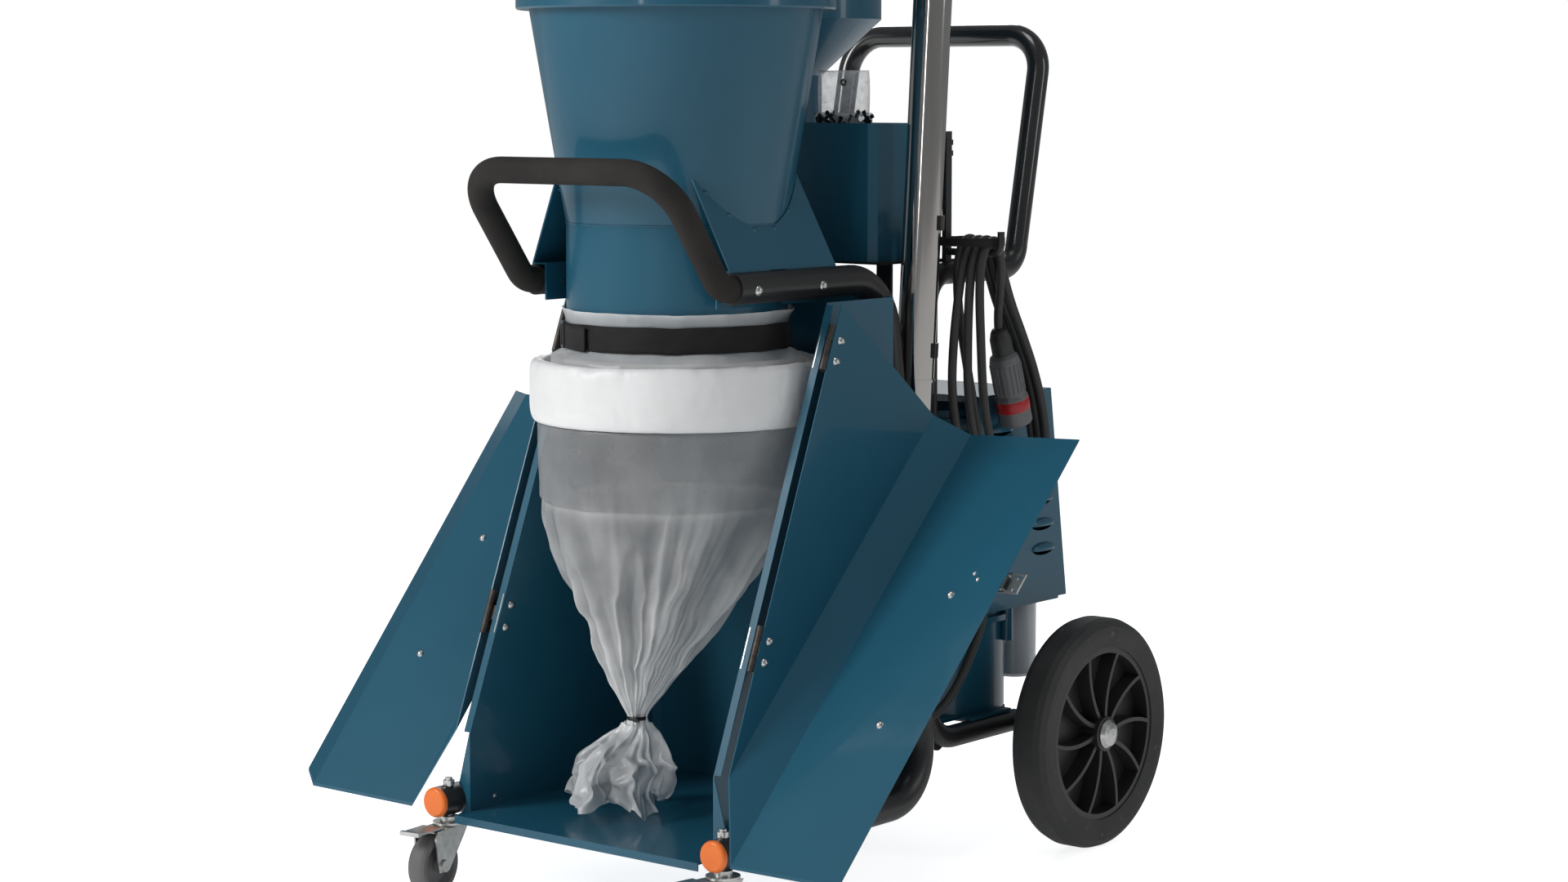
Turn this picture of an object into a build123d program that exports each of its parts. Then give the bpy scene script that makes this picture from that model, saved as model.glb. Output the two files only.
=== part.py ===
from build123d import *
import math
import os

os.makedirs("parts", exist_ok=True)

# Mobile cyclone dust collector, in millimetres, +Z up, front towards -Y.
# The origin is on the floor, under the centre of the machine's bounding box.
# "left" is the +X side of the machine and "right" is the -X side.

# ------------------------------------------------------------ driving dimensions
sheet = 2.0                     # folded steel sheet

# side frame tubes: a C on each side, leaning inwards towards the top
frame_r, frame_wall = 25.0, 2.5
lower_x, upper_x = 297.0, 207.0
lower_z, upper_z = 148.0, 1000.0
frame_front_y, upright_y, grip_start_y = -528.0, 5.0, -380.0

# rear frame of thinner tube, and the handle on it
rear_r, rear_wall = 19.0, 2.0
post_y, cradle_z = 130.0, 205.0
handle_joint = (392.0, 1039.0)
handle_top = (465.6, 1400.0)
handle_lean = (handle_top[0] - handle_joint[0]) / (handle_top[1] - handle_joint[1])
arm_corner_y = handle_joint[0] - (handle_joint[1] - upper_z) * handle_lean

# front handle
grip_r, bar_r = 21.0, 16.0
handle_rise_y, handle_bar_z = -538.0, 1182.0

# wheels
axle_y, axle_z, axle_r = 412.0, 200.0, 10.0
wheel_r, wheel_in_x, wheel_out_x = 200.0, 322.0, 390.0
caster_x, caster_y, caster_r = 293.0, -504.0, 50.0
caster_trail, caster_angle = 45.0, 8.0

# cyclone
cyclone_y = -266.0
neck_r, rim_r, barrel_r = 178.5, 235.0, 235.0
neck_low_z, neck_z, rim_z, barrel_top_z, lid_top_z = 880.0, 1095.0, 1442.0, 1640.0, 1652.0
spigot_r, spigot_z = 38.0, 1560.0

# filter vessel behind the cyclone
vessel_x, vessel_y, vessel_r = -95.0, 142.0, 157.0
vessel_cone_z, vessel_cyl_z, vessel_top_z = 1330.0, 1425.0, 1625.0

# chrome suction pipe
pipe_r = 31.75

# bag housing and its doors
wall_x, wall_top_z, wall_low_z = 262.0, 973.0, 122.0
hinge_x, hinge_low, hinge_top = 285.0, (-492.0, 258.0), (-211.0, 973.0)
wall_back_y, back_y = -35.0, -23.0
door_face_x, door_fold_y, door_chamfer, door_low_z = 280.0, -493.0, 49.5, 130.0
door_open_deg = 173.0

# collecting bag
strap_low_z, strap_high_z = 894.0, 939.0
cassette_r, cassette_low_z, cassette_high_z = 240.0, 776.0, 878.0
tie_at = (-45.0, -318.0, 288.0)

# power cable
cable_r = 7.5

hinge_run = math.dist(hinge_low, hinge_top)
hinge_y = (hinge_top[0] - hinge_low[0]) / hinge_run
hinge_z = (hinge_top[1] - hinge_low[1]) / hinge_run
hinge_dir = Vector(0, hinge_y, hinge_z)
hinge_front = Vector(0, -hinge_z, hinge_y)

saved = {}


def save(node, *shapes):
    """Write one sub-part, made of one or more separate solids."""
    solids = [solid for shape in shapes for solid in shape.solids()]
    export_step(Compound(children=solids) if len(solids) > 1 else solids[0], f"parts/{node}.step")
    saved[node] = solids


def mirrored(shape):
    return mirror(shape, about=Plane.YZ)


def both(shape):
    return [shape, mirrored(shape)]


def bar(start, end, radius):
    """A round bar between two points."""
    start, end = Vector(*start), Vector(*end)
    run = end - start
    return Plane(origin=start, z_dir=run.normalized()) * Cylinder(
        radius, run.length, align=(Align.CENTER, Align.CENTER, Align.MIN)
    )


def bent(points, radii, outer, inner=0.0):
    """A round tube or bar along straight runs that are joined by arcs."""
    path = FilletPolyline(*points, radius=radii)
    section = Circle(outer) - Circle(inner) if inner else Circle(outer)
    return sweep(Plane(origin=path @ 0, z_dir=path % 0) * section, path=path)


def turned(points):
    """A solid of revolution about Z from (radius, height) points."""
    return revolve(Plane.XZ * make_face(Polyline(*points, close=True)), axis=Axis.Z)


def block(low, high):
    size = [b - a for a, b in zip(low, high)]
    return Pos(*low) * Box(*size, align=(Align.MIN, Align.MIN, Align.MIN))


def dome_bolt(at, axis, radius=6.5, height=4.5, shank_r=0.0, shank=0.0):
    """A domed bolt head that stands on a face, with a shank into it if there is a hole."""
    ball = (radius**2 + height**2) / (2 * height)
    head = Pos(0, 0, height - ball) * Sphere(ball)
    head &= Cylinder(radius + 1, height + 1, align=(Align.CENTER, Align.CENTER, Align.MIN))
    if shank:
        head += Cylinder(shank_r, shank, align=(Align.CENTER, Align.CENTER, Align.MAX))
    return Plane(origin=at, z_dir=axis) * head


# ------------------------------------------------------------ side frames
def lean_x(z):
    """The tube's centre across the machine, at a height."""
    return lower_x + (z - lower_z) * (upper_x - lower_x) / (upper_z - lower_z)


frame_points = [
    (lower_x, frame_front_y, lower_z), (lower_x, upright_y, lower_z),
    (upper_x, upright_y, upper_z), (upper_x, grip_start_y, upper_z),
]
side_frame = bent(frame_points, [95, 85], frame_r, frame_r - frame_wall)
side_frame_solid = bent(frame_points, [95, 85], frame_r)
frame_bolt_y = (-341.0, -179.0)
bolt_hole_r = 4.0
for y in frame_bolt_y:
    side_frame -= bar((upper_x - 40, y, upper_z - 3), (upper_x + 40, y, upper_z - 3), bolt_hole_r)
caster_stem_r = 6.0
side_frame -= bar((caster_x, caster_y, 100), (caster_x, caster_y, 200), caster_stem_r + 0.1)
save("side_frame_left", side_frame)
save("side_frame_right", mirrored(side_frame))

cap_inside = frame_r - frame_wall
cap = Plane(origin=(lower_x, frame_front_y, lower_z), z_dir=(0, -1, 0)) * (
    fillet(Cylinder(frame_r, 9, align=(Align.CENTER, Align.CENTER, Align.MIN)).edges().group_by(Axis.Z)[-1], 6)
)
cap += bar((lower_x, frame_front_y, lower_z), (lower_x, frame_front_y + 12, lower_z), cap_inside - 0.1)
save("tube_caps", *both(cap))

# ------------------------------------------------------------ front handle and its foam grip
handle_points = [
    (upper_x, grip_start_y + 60, upper_z), (upper_x, grip_start_y - 25, upper_z),
    (upper_x, handle_rise_y, handle_bar_z), (-upper_x, handle_rise_y, handle_bar_z),
    (-upper_x, grip_start_y - 25, upper_z), (-upper_x, grip_start_y + 60, upper_z),
]
handle_bends = [40, 80, 80, 40]
grip_points = [(x, grip_start_y, z) if y > grip_start_y else (x, y, z) for x, y, z in handle_points]
front_handle = bent(handle_points, handle_bends, bar_r, bar_r - 2)
reducer = bar((upper_x, grip_start_y, upper_z), (upper_x, grip_start_y + 60, upper_z), frame_r - frame_wall - 0.1)
reducer -= bar((upper_x, grip_start_y - 1, upper_z), (upper_x, grip_start_y + 61, upper_z), bar_r)
for y in frame_bolt_y:
    hole = bar((upper_x - 40, y, upper_z - 3), (upper_x + 40, y, upper_z - 3), bolt_hole_r)
    front_handle -= hole
    front_handle -= mirrored(hole)
    reducer -= hole
save("front_handle", front_handle + reducer + mirrored(reducer))
grip_arc = bent(grip_points, handle_bends, grip_r, bar_r + 0.1)
save("front_grip", grip_arc)

# ------------------------------------------------------------ rear frame, handle, axle
rear_points = [
    (upper_x, *handle_joint), (upper_x, arm_corner_y, upper_z), (upper_x, post_y, upper_z),
    (upper_x, post_y, cradle_z), (upper_x, axle_y - 14, cradle_z),
]
rear_side = bent(rear_points, [45, 50, 80], rear_r, rear_r - rear_wall)
axle_tube_r = 17.0
axle_bore = bar((-400, axle_y, axle_z), (400, axle_y, axle_z), axle_r + 0.1)
axle_tube = bar((-314, axle_y, axle_z), (314, axle_y, axle_z), axle_tube_r)
rear_frame = (rear_side + mirrored(rear_side) + axle_tube) - axle_bore

handle_out = [
    (upper_x, *handle_joint), (upper_x, *handle_top), (-upper_x, *handle_top), (-upper_x, *handle_joint),
]
rear_handle = bent(handle_out, [66, 66], rear_r, rear_r - rear_wall)
save("rear_handle", rear_handle)

axle = bar((-wheel_out_x - 2, axle_y, axle_z), (wheel_out_x + 2, axle_y, axle_z), axle_r)
cap_r = 25.0
for side in (1, -1):
    disc = Plane(origin=(side * wheel_out_x, axle_y, axle_z), z_dir=(side, 0, 0)) * turned(
        [(0, 2), (cap_r, 2), (cap_r, 4), (20, 9.5), (11, 13), (0, 14)]
    )
    axle += disc
save("axle", axle)

# ------------------------------------------------------------ cross members between the frames
upright_low_z, upright_high_z, ladder_x, ladder_r = 200.0, 900.0, 140.0, 12.0
chute_r, chute_low_z = 55.0, 1023.0
cross = Part()
for z in (upright_low_z, upright_high_z):
    cross += bar((-300, upright_y, z), (300, upright_y, z), rear_r)
cross += bar((-upper_x, post_y, upright_high_z), (upper_x, post_y, upright_high_z), rear_r)
cross += bar((-upper_x, post_y + 40, cradle_z), (upper_x, post_y + 40, cradle_z), rear_r)
for x in (-ladder_x, ladder_x):
    cross += bar((x, upright_y, upright_high_z), (x, post_y, upright_high_z), ladder_r)
    cross += bar((x, upright_y, upright_low_z), (x, post_y + 40, cradle_z), ladder_r)
rear_solid = bent(rear_points, [45, 50, 80], rear_r)
for solid in (side_frame_solid, rear_solid):
    cross -= solid
    cross -= mirrored(solid)
rungs = [solid for solid in cross.solids() if solid.volume > 1e5]
save("cross_members", *rungs)

# the shelf that carries the filter vessel and the accessory bin, between the rear frame's arms
shelf = block((-upper_x + rear_r, 30, 1019), (upper_x - rear_r, 215, 1023))
shelf += block((-upper_x, post_y + 60, 1017), (upper_x, 215, 1023))
for x in (-ladder_x, ladder_x):
    shelf += block((x - 15, 100, upright_high_z + 10), (x + 15, 106, 1020))
for rung in rungs:
    shelf -= rung

# ------------------------------------------------------------ cyclone: cone, barrel, lid
shell = 2.0
cone = turned([
    (neck_r, neck_low_z), (neck_r, neck_z), (rim_r, rim_z - 8), (rim_r + 14, rim_z - 8), (rim_r + 14, rim_z),
    (rim_r - shell, rim_z), (rim_r - shell, rim_z - 8), (neck_r - shell, neck_z), (neck_r - shell, neck_low_z),
])
cone += turned([(neck_r - 0.5, neck_z - 1.5), (neck_r + 1.6, neck_z - 0.5), (neck_r + 1.8, neck_z + 1), (neck_r, neck_z + 2)])
cyclone_at = Pos(0, cyclone_y, 0)
save("cyclone_cone", cyclone_at * cone)

spigot_side = -1                                      # the inlet enters on the right side
spigot_x = spigot_side * (barrel_r - spigot_r - 10)
barrel = turned([
    (barrel_r, rim_z + 8), (barrel_r, barrel_top_z - 6), (barrel_r + 14, barrel_top_z - 6),
    (barrel_r + 14, barrel_top_z), (barrel_r - shell, barrel_top_z), (barrel_r - shell, rim_z + 0.0),
    (barrel_r + 14, rim_z + 0.0), (barrel_r + 14, rim_z + 8),
])
spigot_front_y = -290.0
spigot = bar((spigot_x, spigot_front_y, spigot_z), (spigot_x, -60, spigot_z), spigot_r + shell)
barrel_inside = bar((0, 0, rim_z + 1), (0, 0, barrel_top_z - 1), barrel_r - shell)
barrel = barrel + (spigot - barrel_inside)
barrel -= bar((spigot_x, spigot_front_y - 1, spigot_z), (spigot_x, -60, spigot_z), spigot_r)
save("cyclone_barrel", cyclone_at * barrel)

outlet_r = 50.0
lid = turned([
    (outlet_r - shell, 1400), (outlet_r, 1400), (outlet_r, barrel_top_z), (rim_r + 14, barrel_top_z),
    (rim_r + 14, barrel_top_z + 3), (outlet_r, barrel_top_z + 12), (outlet_r, lid_top_z + 8), (outlet_r - shell, lid_top_z + 8),
])
save("cyclone_lid", cyclone_at * lid)


def clamp_ring(radius, z, half):
    """A split band with a rounded back, closed round a pair of flanges."""
    return turned([
        (radius, z - half), (radius + 5, z - half), (radius + 7, z - half + 3), (radius + 7, z + half - 3),
        (radius + 5, z + half), (radius, z + half),
    ])


# ------------------------------------------------------------ filter vessel, cartridge, lid, ducts
vessel_at = Pos(vessel_x, vessel_y, 0)
vessel = turned([
    (chute_r, chute_low_z), (chute_r, vessel_cone_z), (vessel_r, vessel_cyl_z), (vessel_r, vessel_top_z - 5),
    (vessel_r + 12, vessel_top_z - 5), (vessel_r + 12, vessel_top_z), (vessel_r - shell, vessel_top_z),
    (vessel_r - shell, vessel_cyl_z), (chute_r - shell, vessel_cone_z), (chute_r - shell, chute_low_z + 4),
    (0, chute_low_z + 4), (0, chute_low_z),
])

pleats = 24
pleat_out, pleat_in = 118.0, 98.0
star = [
    Vector(r * math.cos(a), r * math.sin(a))
    for k in range(pleats)
    for r, a in ((pleat_out, 2 * math.pi * k / pleats), (pleat_in, 2 * math.pi * (k + 0.5) / pleats))
]
cartridge = Pos(0, 0, vessel_cyl_z + 12) * extrude(make_face(Polyline(*star, close=True)) - Circle(60), 170)
cartridge += Pos(0, 0, vessel_cyl_z + 8) * Cylinder(124, 6, align=(Align.CENTER, Align.CENTER, Align.MIN))
cartridge += Pos(0, 0, vessel_cyl_z + 180) * (
    Cylinder(vessel_r - shell - 1, 5, align=(Align.CENTER, Align.CENTER, Align.MIN))
    - Cylinder(60, 20, align=(Align.CENTER, Align.CENTER, Align.CENTER))
)
save("filter_cartridge", vessel_at * cartridge)

vessel_lid = turned([
    (0, vessel_top_z), (vessel_r + 12, vessel_top_z), (vessel_r + 12, vessel_top_z + 5), (vessel_r - 6, vessel_top_z + 8),
    (vessel_r - 22, vessel_top_z + 62), (vessel_r - 34, vessel_top_z + 72), (0, vessel_top_z + 72),
]) - turned([
    (0, vessel_top_z - 1), (vessel_r - 10, vessel_top_z - 1), (vessel_r - 10, vessel_top_z + 7),
    (vessel_r - 24, vessel_top_z + 60), (vessel_r - 35, vessel_top_z + 70), (0, vessel_top_z + 70),
])
vessel_lid = vessel_at * vessel_lid

# the chrome pipe leans a little, and turns over into the lid at the top and under to the blower at the foot
pipe_low, pipe_high = Vector(231, 66, 830), Vector(249, 84, 1420)
lean = (pipe_high - pipe_low) * (1 / 590.0)
pipe_over = pipe_low + lean * (1668 - 830)
pipe_under = pipe_low + lean * (400 - 830)
inlet_x, inlet_front_y, inlet_z = 90.0, 205.0, 400.0
pipe_points = [
    (vessel_x + 60, vessel_y, pipe_over.Z), tuple(pipe_over), tuple(pipe_under),
    (inlet_x, pipe_under.Y, inlet_z), (inlet_x, inlet_front_y, inlet_z),
]
pipe_bends = [95, 60, 58]
suction_pipe = bent(pipe_points, pipe_bends, pipe_r, pipe_r - 1.5)
suction_solid = bent(pipe_points, pipe_bends, pipe_r)
seam = Plane(origin=pipe_low, z_dir=lean) * (Cylinder(pipe_r + 2, 5) - Cylinder(pipe_r - 1, 6))
suction_pipe += seam
vessel_lid -= suction_solid
inside_lid = vessel_at * bar((0, 0, vessel_top_z), (0, 0, vessel_top_z + 70), vessel_r - 36)
suction_pipe -= inside_lid
save("suction_pipe", max(suction_pipe.solids(), key=lambda s: s.volume))
save("filter_lid", vessel_lid)

# the duct from the cyclone's outlet, round behind, into the filter vessel's side
duct_r, duct_wall, duct_high_z, duct_in_z, duct_turn = 40.0, 2.0, 1718.0, 1555.0, (-330.0, 60.0)
duct_points = [
    (0, cyclone_y, lid_top_z + 8), (0, cyclone_y, duct_high_z), (*duct_turn, duct_high_z),
    (*duct_turn, duct_in_z), (vessel_x - 120, vessel_y - 42, duct_in_z),
]
duct_bends = [54, 60, 52]
vessel_solid = vessel_at * bar((0, 0, vessel_cyl_z), (0, 0, vessel_top_z), vessel_r)
duct = bent(duct_points, duct_bends, duct_r, duct_r - duct_wall) - vessel_solid
duct += Pos(0, cyclone_y, lid_top_z + 8) * turned([
    (duct_r - 1, 0), (outlet_r + 12, 0), (outlet_r + 12, 5), (duct_r - 1, 5)])
save("crossover_duct", duct)
vessel = vessel_at * vessel - bar(
    (*duct_turn, duct_in_z), (vessel_x, vessel_y, duct_in_z), duct_r - duct_wall)
save("filter_vessel", vessel)

rings = [
    cyclone_at * clamp_ring(rim_r + 14, rim_z, 9),
    cyclone_at * clamp_ring(rim_r + 14, barrel_top_z - 1.5, 6),
    vessel_at * clamp_ring(vessel_r + 12, vessel_top_z, 6),
]
save("clamp_rings", *rings)

# ------------------------------------------------------------ gussets that carry the cyclone on the side frames
gusset_low, gusset_high = (upper_x, upper_z + frame_r), (140.0, 1170.0)
plate_t = 3.0
slope = Vector(gusset_high[0] - gusset_low[0], 0, gusset_high[1] - gusset_low[1]).normalized()
gusset_plane = Plane(origin=(gusset_low[0], cyclone_y, gusset_low[1]), x_dir=(0, 1, 0), z_dir=(slope.Z, 0, -slope.X))
gusset_height = math.dist(gusset_low, gusset_high)
outline = Polyline((-117, 0), (147, 0), (130, gusset_height), (-130, gusset_height), close=True)
gusset = gusset_plane * extrude(make_face(outline), plate_t)
gusset += block((180, cyclone_y - 117, gusset_low[1]), (upper_x + 2, cyclone_y - 20, gusset_low[1] + plate_t))
gusset += block((180, cyclone_y + 20, gusset_low[1]), (upper_x + 2, cyclone_y + 147, gusset_low[1] + plate_t))
for y in frame_bolt_y:
    gusset += block((178.6, y - 42, upper_z - 32), (181.8, y + 42, gusset_low[1] + plate_t)) - bar(
        (170, y, upper_z - 3), (190, y, upper_z - 3), bolt_hole_r)
cone_solid = cyclone_at * turned([(0, 900), (neck_r + 0.3, 900), (neck_r + 0.3, neck_z - 2), (neck_r + 2.2, neck_z - 2),
                                  (neck_r + 2.2, neck_z + 4), (rim_r + 0.3, rim_z), (0, rim_z)])
gusset = gusset - cone_solid
gusset_solids = sorted(gusset.solids(), key=lambda s: -s.volume)
save("support_gussets", *both(gusset_solids[0]))

# ------------------------------------------------------------ bag housing: walls, floor
housing_profile = Polyline(
    (-wall_x, -700), (-wall_x, wall_back_y), (-wall_x + 12, back_y), (wall_x - 12, back_y),
    (wall_x, wall_back_y), (wall_x, -700),
)
housing_inner = make_face(Polyline(
    (-wall_x + sheet, -701), (-wall_x + sheet, wall_back_y - 0.8), (-wall_x + 12.8, back_y - sheet),
    (wall_x - 12.8, back_y - sheet), (wall_x - sheet, wall_back_y - 0.8), (wall_x - sheet, -701), close=True,
))
housing_outer = make_face(housing_profile + Line((wall_x, -700), (-wall_x, -700)))
housing = Pos(0, 0, wall_low_z) * extrude(housing_outer - housing_inner, wall_top_z - wall_low_z)
edge_gap = 4.0                                        # the wall's front edge stands this far behind the hinge line
front_cut = Polyline(
    (-900, 0), (hinge_low[0] + edge_gap, 0), (hinge_low[0] + edge_gap, hinge_low[1]),
    (hinge_top[0] + edge_gap, hinge_top[1]), (hinge_top[0] + edge_gap + 40, hinge_top[1] + 101.8), (-900, 1100), close=True,
)
housing -= extrude(Plane.YZ * make_face(front_cut), 700, both=True)
flange_in, flange_w, flange_low_w = wall_x - 1, 12.0, 38.0
apex = hinge_low[1]
front_y = hinge_low[0] + edge_gap
low_flange = Plane(origin=(0, front_y, 0), x_dir=(1, 0, 0), z_dir=(0, -1, 0)) * extrude(
    make_face(Polyline((flange_in, wall_low_z), (wall_x + flange_low_w, wall_low_z), (wall_x, apex), (flange_in, apex), close=True)),
    -sheet,
)
low_flange -= bar((lower_x, front_y - 9, lower_z), (lower_x, front_y + 9, lower_z), frame_r + 2)
slant_flange = Plane(origin=(0, front_y, apex), x_dir=(1, 0, 0), z_dir=hinge_front) * extrude(
    Pos((flange_in + wall_x + flange_w) / 2, hinge_run / 2) * Rectangle(wall_x + flange_w - flange_in, hinge_run - 8), -sheet
)
for flange in (low_flange, slant_flange):
    housing += flange
    housing += mirrored(flange)

floor_z = 131.0
floor = block((-wall_x + sheet + 0.2, front_y - 35, wall_low_z + 6), (wall_x - sheet - 0.2, back_y - sheet - 0.2, floor_z))
floor_lip = block((-wall_x + sheet + 0.2, front_y - 37, wall_low_z - 4), (wall_x - sheet - 0.2, front_y - 35, floor_z))
floor += floor_lip
floor_chamfer = wall_back_y - 0.8
for side in (1, -1):
    corner = extrude(make_face(Polyline(
        (side * (wall_x - sheet - 0.3), floor_chamfer - 1), (side * (wall_x - 13), back_y - sheet - 0.1),
        (side * (wall_x + 5), back_y + 5), close=True)), 300)
    floor -= corner
save("housing_floor", floor)

# ------------------------------------------------------------ hinges of the doors
leaf_half, barrel_len, hinge_pin_r, knuckle_r = 33.0, 72.0, 2.5, 5.0
hinge_spots = (0.27, 0.905)                         # shares of the hinge line, from its foot
wall_bolts, door_bolts = [], []


def hinge_frame(share):
    """Plane at a point of the hinge line: x along the line, z outwards."""
    at = Vector(hinge_x, *hinge_low) + hinge_dir * (hinge_run * share)
    return Plane(origin=at, x_dir=hinge_dir, z_dir=(1, 0, 0))


fixed_leaves, moving_leaves = [], []
for share in hinge_spots:
    frame = hinge_frame(share)
    # local x runs up the hinge line, local y runs to the rear and z outwards
    out = 1 if frame.y_dir.Y > 0 else -1
    reach = wall_x - hinge_x
    knuckle_f = Cylinder(knuckle_r, 24, rotation=(0, 90, 0))
    arm = Box(24, 2, -reach - 1, align=(Align.CENTER, Align.MIN, Align.MAX))
    arm = Pos(0, out * 5 if out > 0 else -7, 0) * arm
    fixed = knuckle_f + Pos(0, out * 3, 0) * Box(24, 6, 4)
    foot = Pos(0, out * 20, reach + 1.1) * Box(2 * leaf_half, 34, 2)
    fixed = fixed + arm + foot - Cylinder(hinge_pin_r + 0.05, 80, rotation=(0, 90, 0))
    spots = [Pos(s * 19, out * 24, reach + 1) for s in (-1, 1)]
    for spot in spots:
        fixed -= spot * Cylinder(3.1, 20)
    fixed_leaves.append(frame * fixed)
    wall_bolts += [(frame * spot).position for spot in spots]

    moving = Part()
    for shift in (-24.4, 24.4):
        moving += Pos(shift, 0, 0) * Cylinder(knuckle_r, 24, rotation=(0, 90, 0))
        moving += Pos(shift, -out * 6, -4) * Box(24, 12, 2)
    moving += Pos(0, -out * 20, -4) * Box(2 * leaf_half, 28, 2)
    moving -= Cylinder(knuckle_r + 0.4, 24.8, rotation=(0, 90, 0))
    moving += Cylinder(hinge_pin_r, 2 * 36.4, rotation=(0, 90, 0))
    door_spots = [Pos(s * 17, -out * 20, -4) for s in (-1, 1)]
    for spot in door_spots:
        moving -= spot * Cylinder(3.1, 20)
    moving_leaves.append(frame * moving)
    door_bolts += [(frame * spot).position for spot in door_spots]

for leaf in fixed_leaves:
    housing -= leaf
    housing -= mirrored(leaf)
for at in wall_bolts:
    hole = bar((wall_x - 20, at.Y, at.Z), (wall_x + 12, at.Y, at.Z), 3.1)
    housing -= hole
    housing -= mirrored(hole)
housing -= bent(frame_points, [95, 85], frame_r + 2)
housing -= mirrored(bent(frame_points, [95, 85], frame_r + 2))
save("bag_housing", max(housing.solids(), key=lambda s: s.volume))

wall_bolt_parts = []
for at in wall_bolts:
    bolt = dome_bolt((wall_x - sheet, at.Y, at.Z), (-1, 0, 0), 7, 5, 3, 12)
    wall_bolt_parts += both(bolt)
save("hinge_fixed_leaves", *[part for leaf in fixed_leaves for part in both(leaf)], *wall_bolt_parts)

# ------------------------------------------------------------ doors, drawn closed and then swung open
fold_in = door_face_x - sheet
chamfer_end = (door_face_x - door_chamfer, door_fold_y - door_chamfer)


def door_panel(free_x, lip):
    """One door of the left side, closed: side panel, chamfer and front panel."""
    outer = [
        (door_face_x, -150), (door_face_x, door_fold_y), chamfer_end, (free_x, chamfer_end[1]),
    ]
    if lip:
        outer.append((free_x - 18, chamfer_end[1] + 8.5))
    inner = [
        (fold_in, -150), (fold_in, door_fold_y + 0.83), (chamfer_end[0] - 0.83, chamfer_end[1] + sheet),
        (free_x, chamfer_end[1] + sheet),
    ]
    if lip:
        inner.append((free_x - 18.8, chamfer_end[1] + 8.5 + 1.8))
    panel = Pos(0, 0, door_low_z) * extrude(
        make_face(Polyline(*outer, *reversed(inner), close=True)), hinge_top[1] - door_low_z
    )
    clear = 3.0
    behind = Plane(origin=(0, *hinge_low), x_dir=(1, 0, 0), z_dir=hinge_front) * Pos(300, 0, clear) * Box(
        1400, 3000, 1000, align=(Align.CENTER, Align.CENTER, Align.MAX)
    )
    return panel - behind


def swing(shape, degrees):
    """Turn a shape of the left door about its hinge line, outwards for positive angles."""
    return shape.rotate(Axis((hinge_x, *hinge_low), tuple(hinge_dir)), degrees)


single_bolts = [(chamfer_end[0] - 140, 663.0), (chamfer_end[0] - 140, 418.0)]
latch_z = 700.0
rivets = [(66.0, 706.0), (54.0, 696.0)]

for name, side, free_x, lip in (("left", 1, 2.0, False), ("right", -1, 19.0, True)):
    door = door_panel(free_x, lip)
    hardware = []
    for at in door_bolts:
        hole = bar((door_face_x - 10, at.Y, at.Z), (door_face_x + 10, at.Y, at.Z), 3.1)
        door -= hole
        hardware.append(dome_bolt((fold_in, at.Y, at.Z), (-1, 0, 0), 7, 5, 3, 9))
    inner_y = chamfer_end[1] + sheet
    spots = single_bolts + (rivets if name == "left" else [])
    for x, z in spots:
        small = (x, z) in rivets
        door -= bar((x, inner_y - 10, z), (x, inner_y + 10, z), 2.1 if small else 3.1)
        hardware.append(
            dome_bolt((x, inner_y, z), (0, 1, 0), 4 if small else 7, 2.2 if small else 5, 2 if small else 3, 1.9 if small else 4)
        )
    hardware += moving_leaves
    if name == "left":
        # base of the toggle latch, on the outer face by the free edge
        latch_frame = Plane(origin=(free_x + 40, chamfer_end[1], latch_z), x_dir=(-1, 0, 0), z_dir=(0, -1, 0))
        base = Pos(0, 0, 1) * Box(56, 34, 2)
        for v in (-15, 15):
            base += Pos(14, v, 6) * Box(18, 2, 10)
        base -= Pos(14, 0, 8) * Cylinder(2.05, 60, rotation=(90, 0, 0))
        hardware.append(latch_frame * base)
        lever = Pos(14, 0, 8) * Cylinder(2.0, 32, rotation=(90, 0, 0))
        lever += Pos(14, 0, 10.8) * Box(40, 25, 2.4, align=(Align.MIN, Align.CENTER, Align.CENTER))
        for v in (-11.5, 11.5):
            lever += Pos(10, v, 8) * Box(30, 2, 8, align=(Align.MIN, Align.CENTER, Align.CENTER))
        lever += Pos(53, 0, 10.8) * Box(11, 17, 2.4, align=(Align.MIN, Align.CENTER, Align.CENTER))
        lever -= Pos(32, 0, 8) * Cylinder(1.6, 60, rotation=(90, 0, 0))
        hook = Pos(32, 0, 8) * Cylinder(1.5, 36, rotation=(90, 0, 0))
        for v in (-17, 17):
            hook += Pos(30, v, 8) * Box(40, 2.4, 3, align=(Align.MIN, Align.CENTER, Align.CENTER))
        hook += Pos(68, 0, 8) * Box(3, 36, 3)
        latch_parts = {"latch_lever": latch_frame * lever, "latch_hook": latch_frame * hook}
    else:
        latch_parts = {}
        keeper = Plane(origin=(free_x + 14, chamfer_end[1], latch_z), x_dir=(1, 0, 0), z_dir=(0, -1, 0)) * (
            Pos(0, 0, 1) * Box(22, 30, 2) + Pos(8, 0, 5) * Box(2, 24, 8) + Pos(4, 0, 9) * Box(10, 24, 2)
        )
        hardware.append(keeper)
    for node, pieces in ((f"door_{name}", [door]), (f"door_{name}_hardware", hardware)):
        opened = [swing(piece, door_open_deg) for piece in pieces]
        save(node, *[piece if side > 0 else mirrored(piece) for piece in opened])
    for node, piece in latch_parts.items():
        save(node, swing(piece, door_open_deg))

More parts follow.
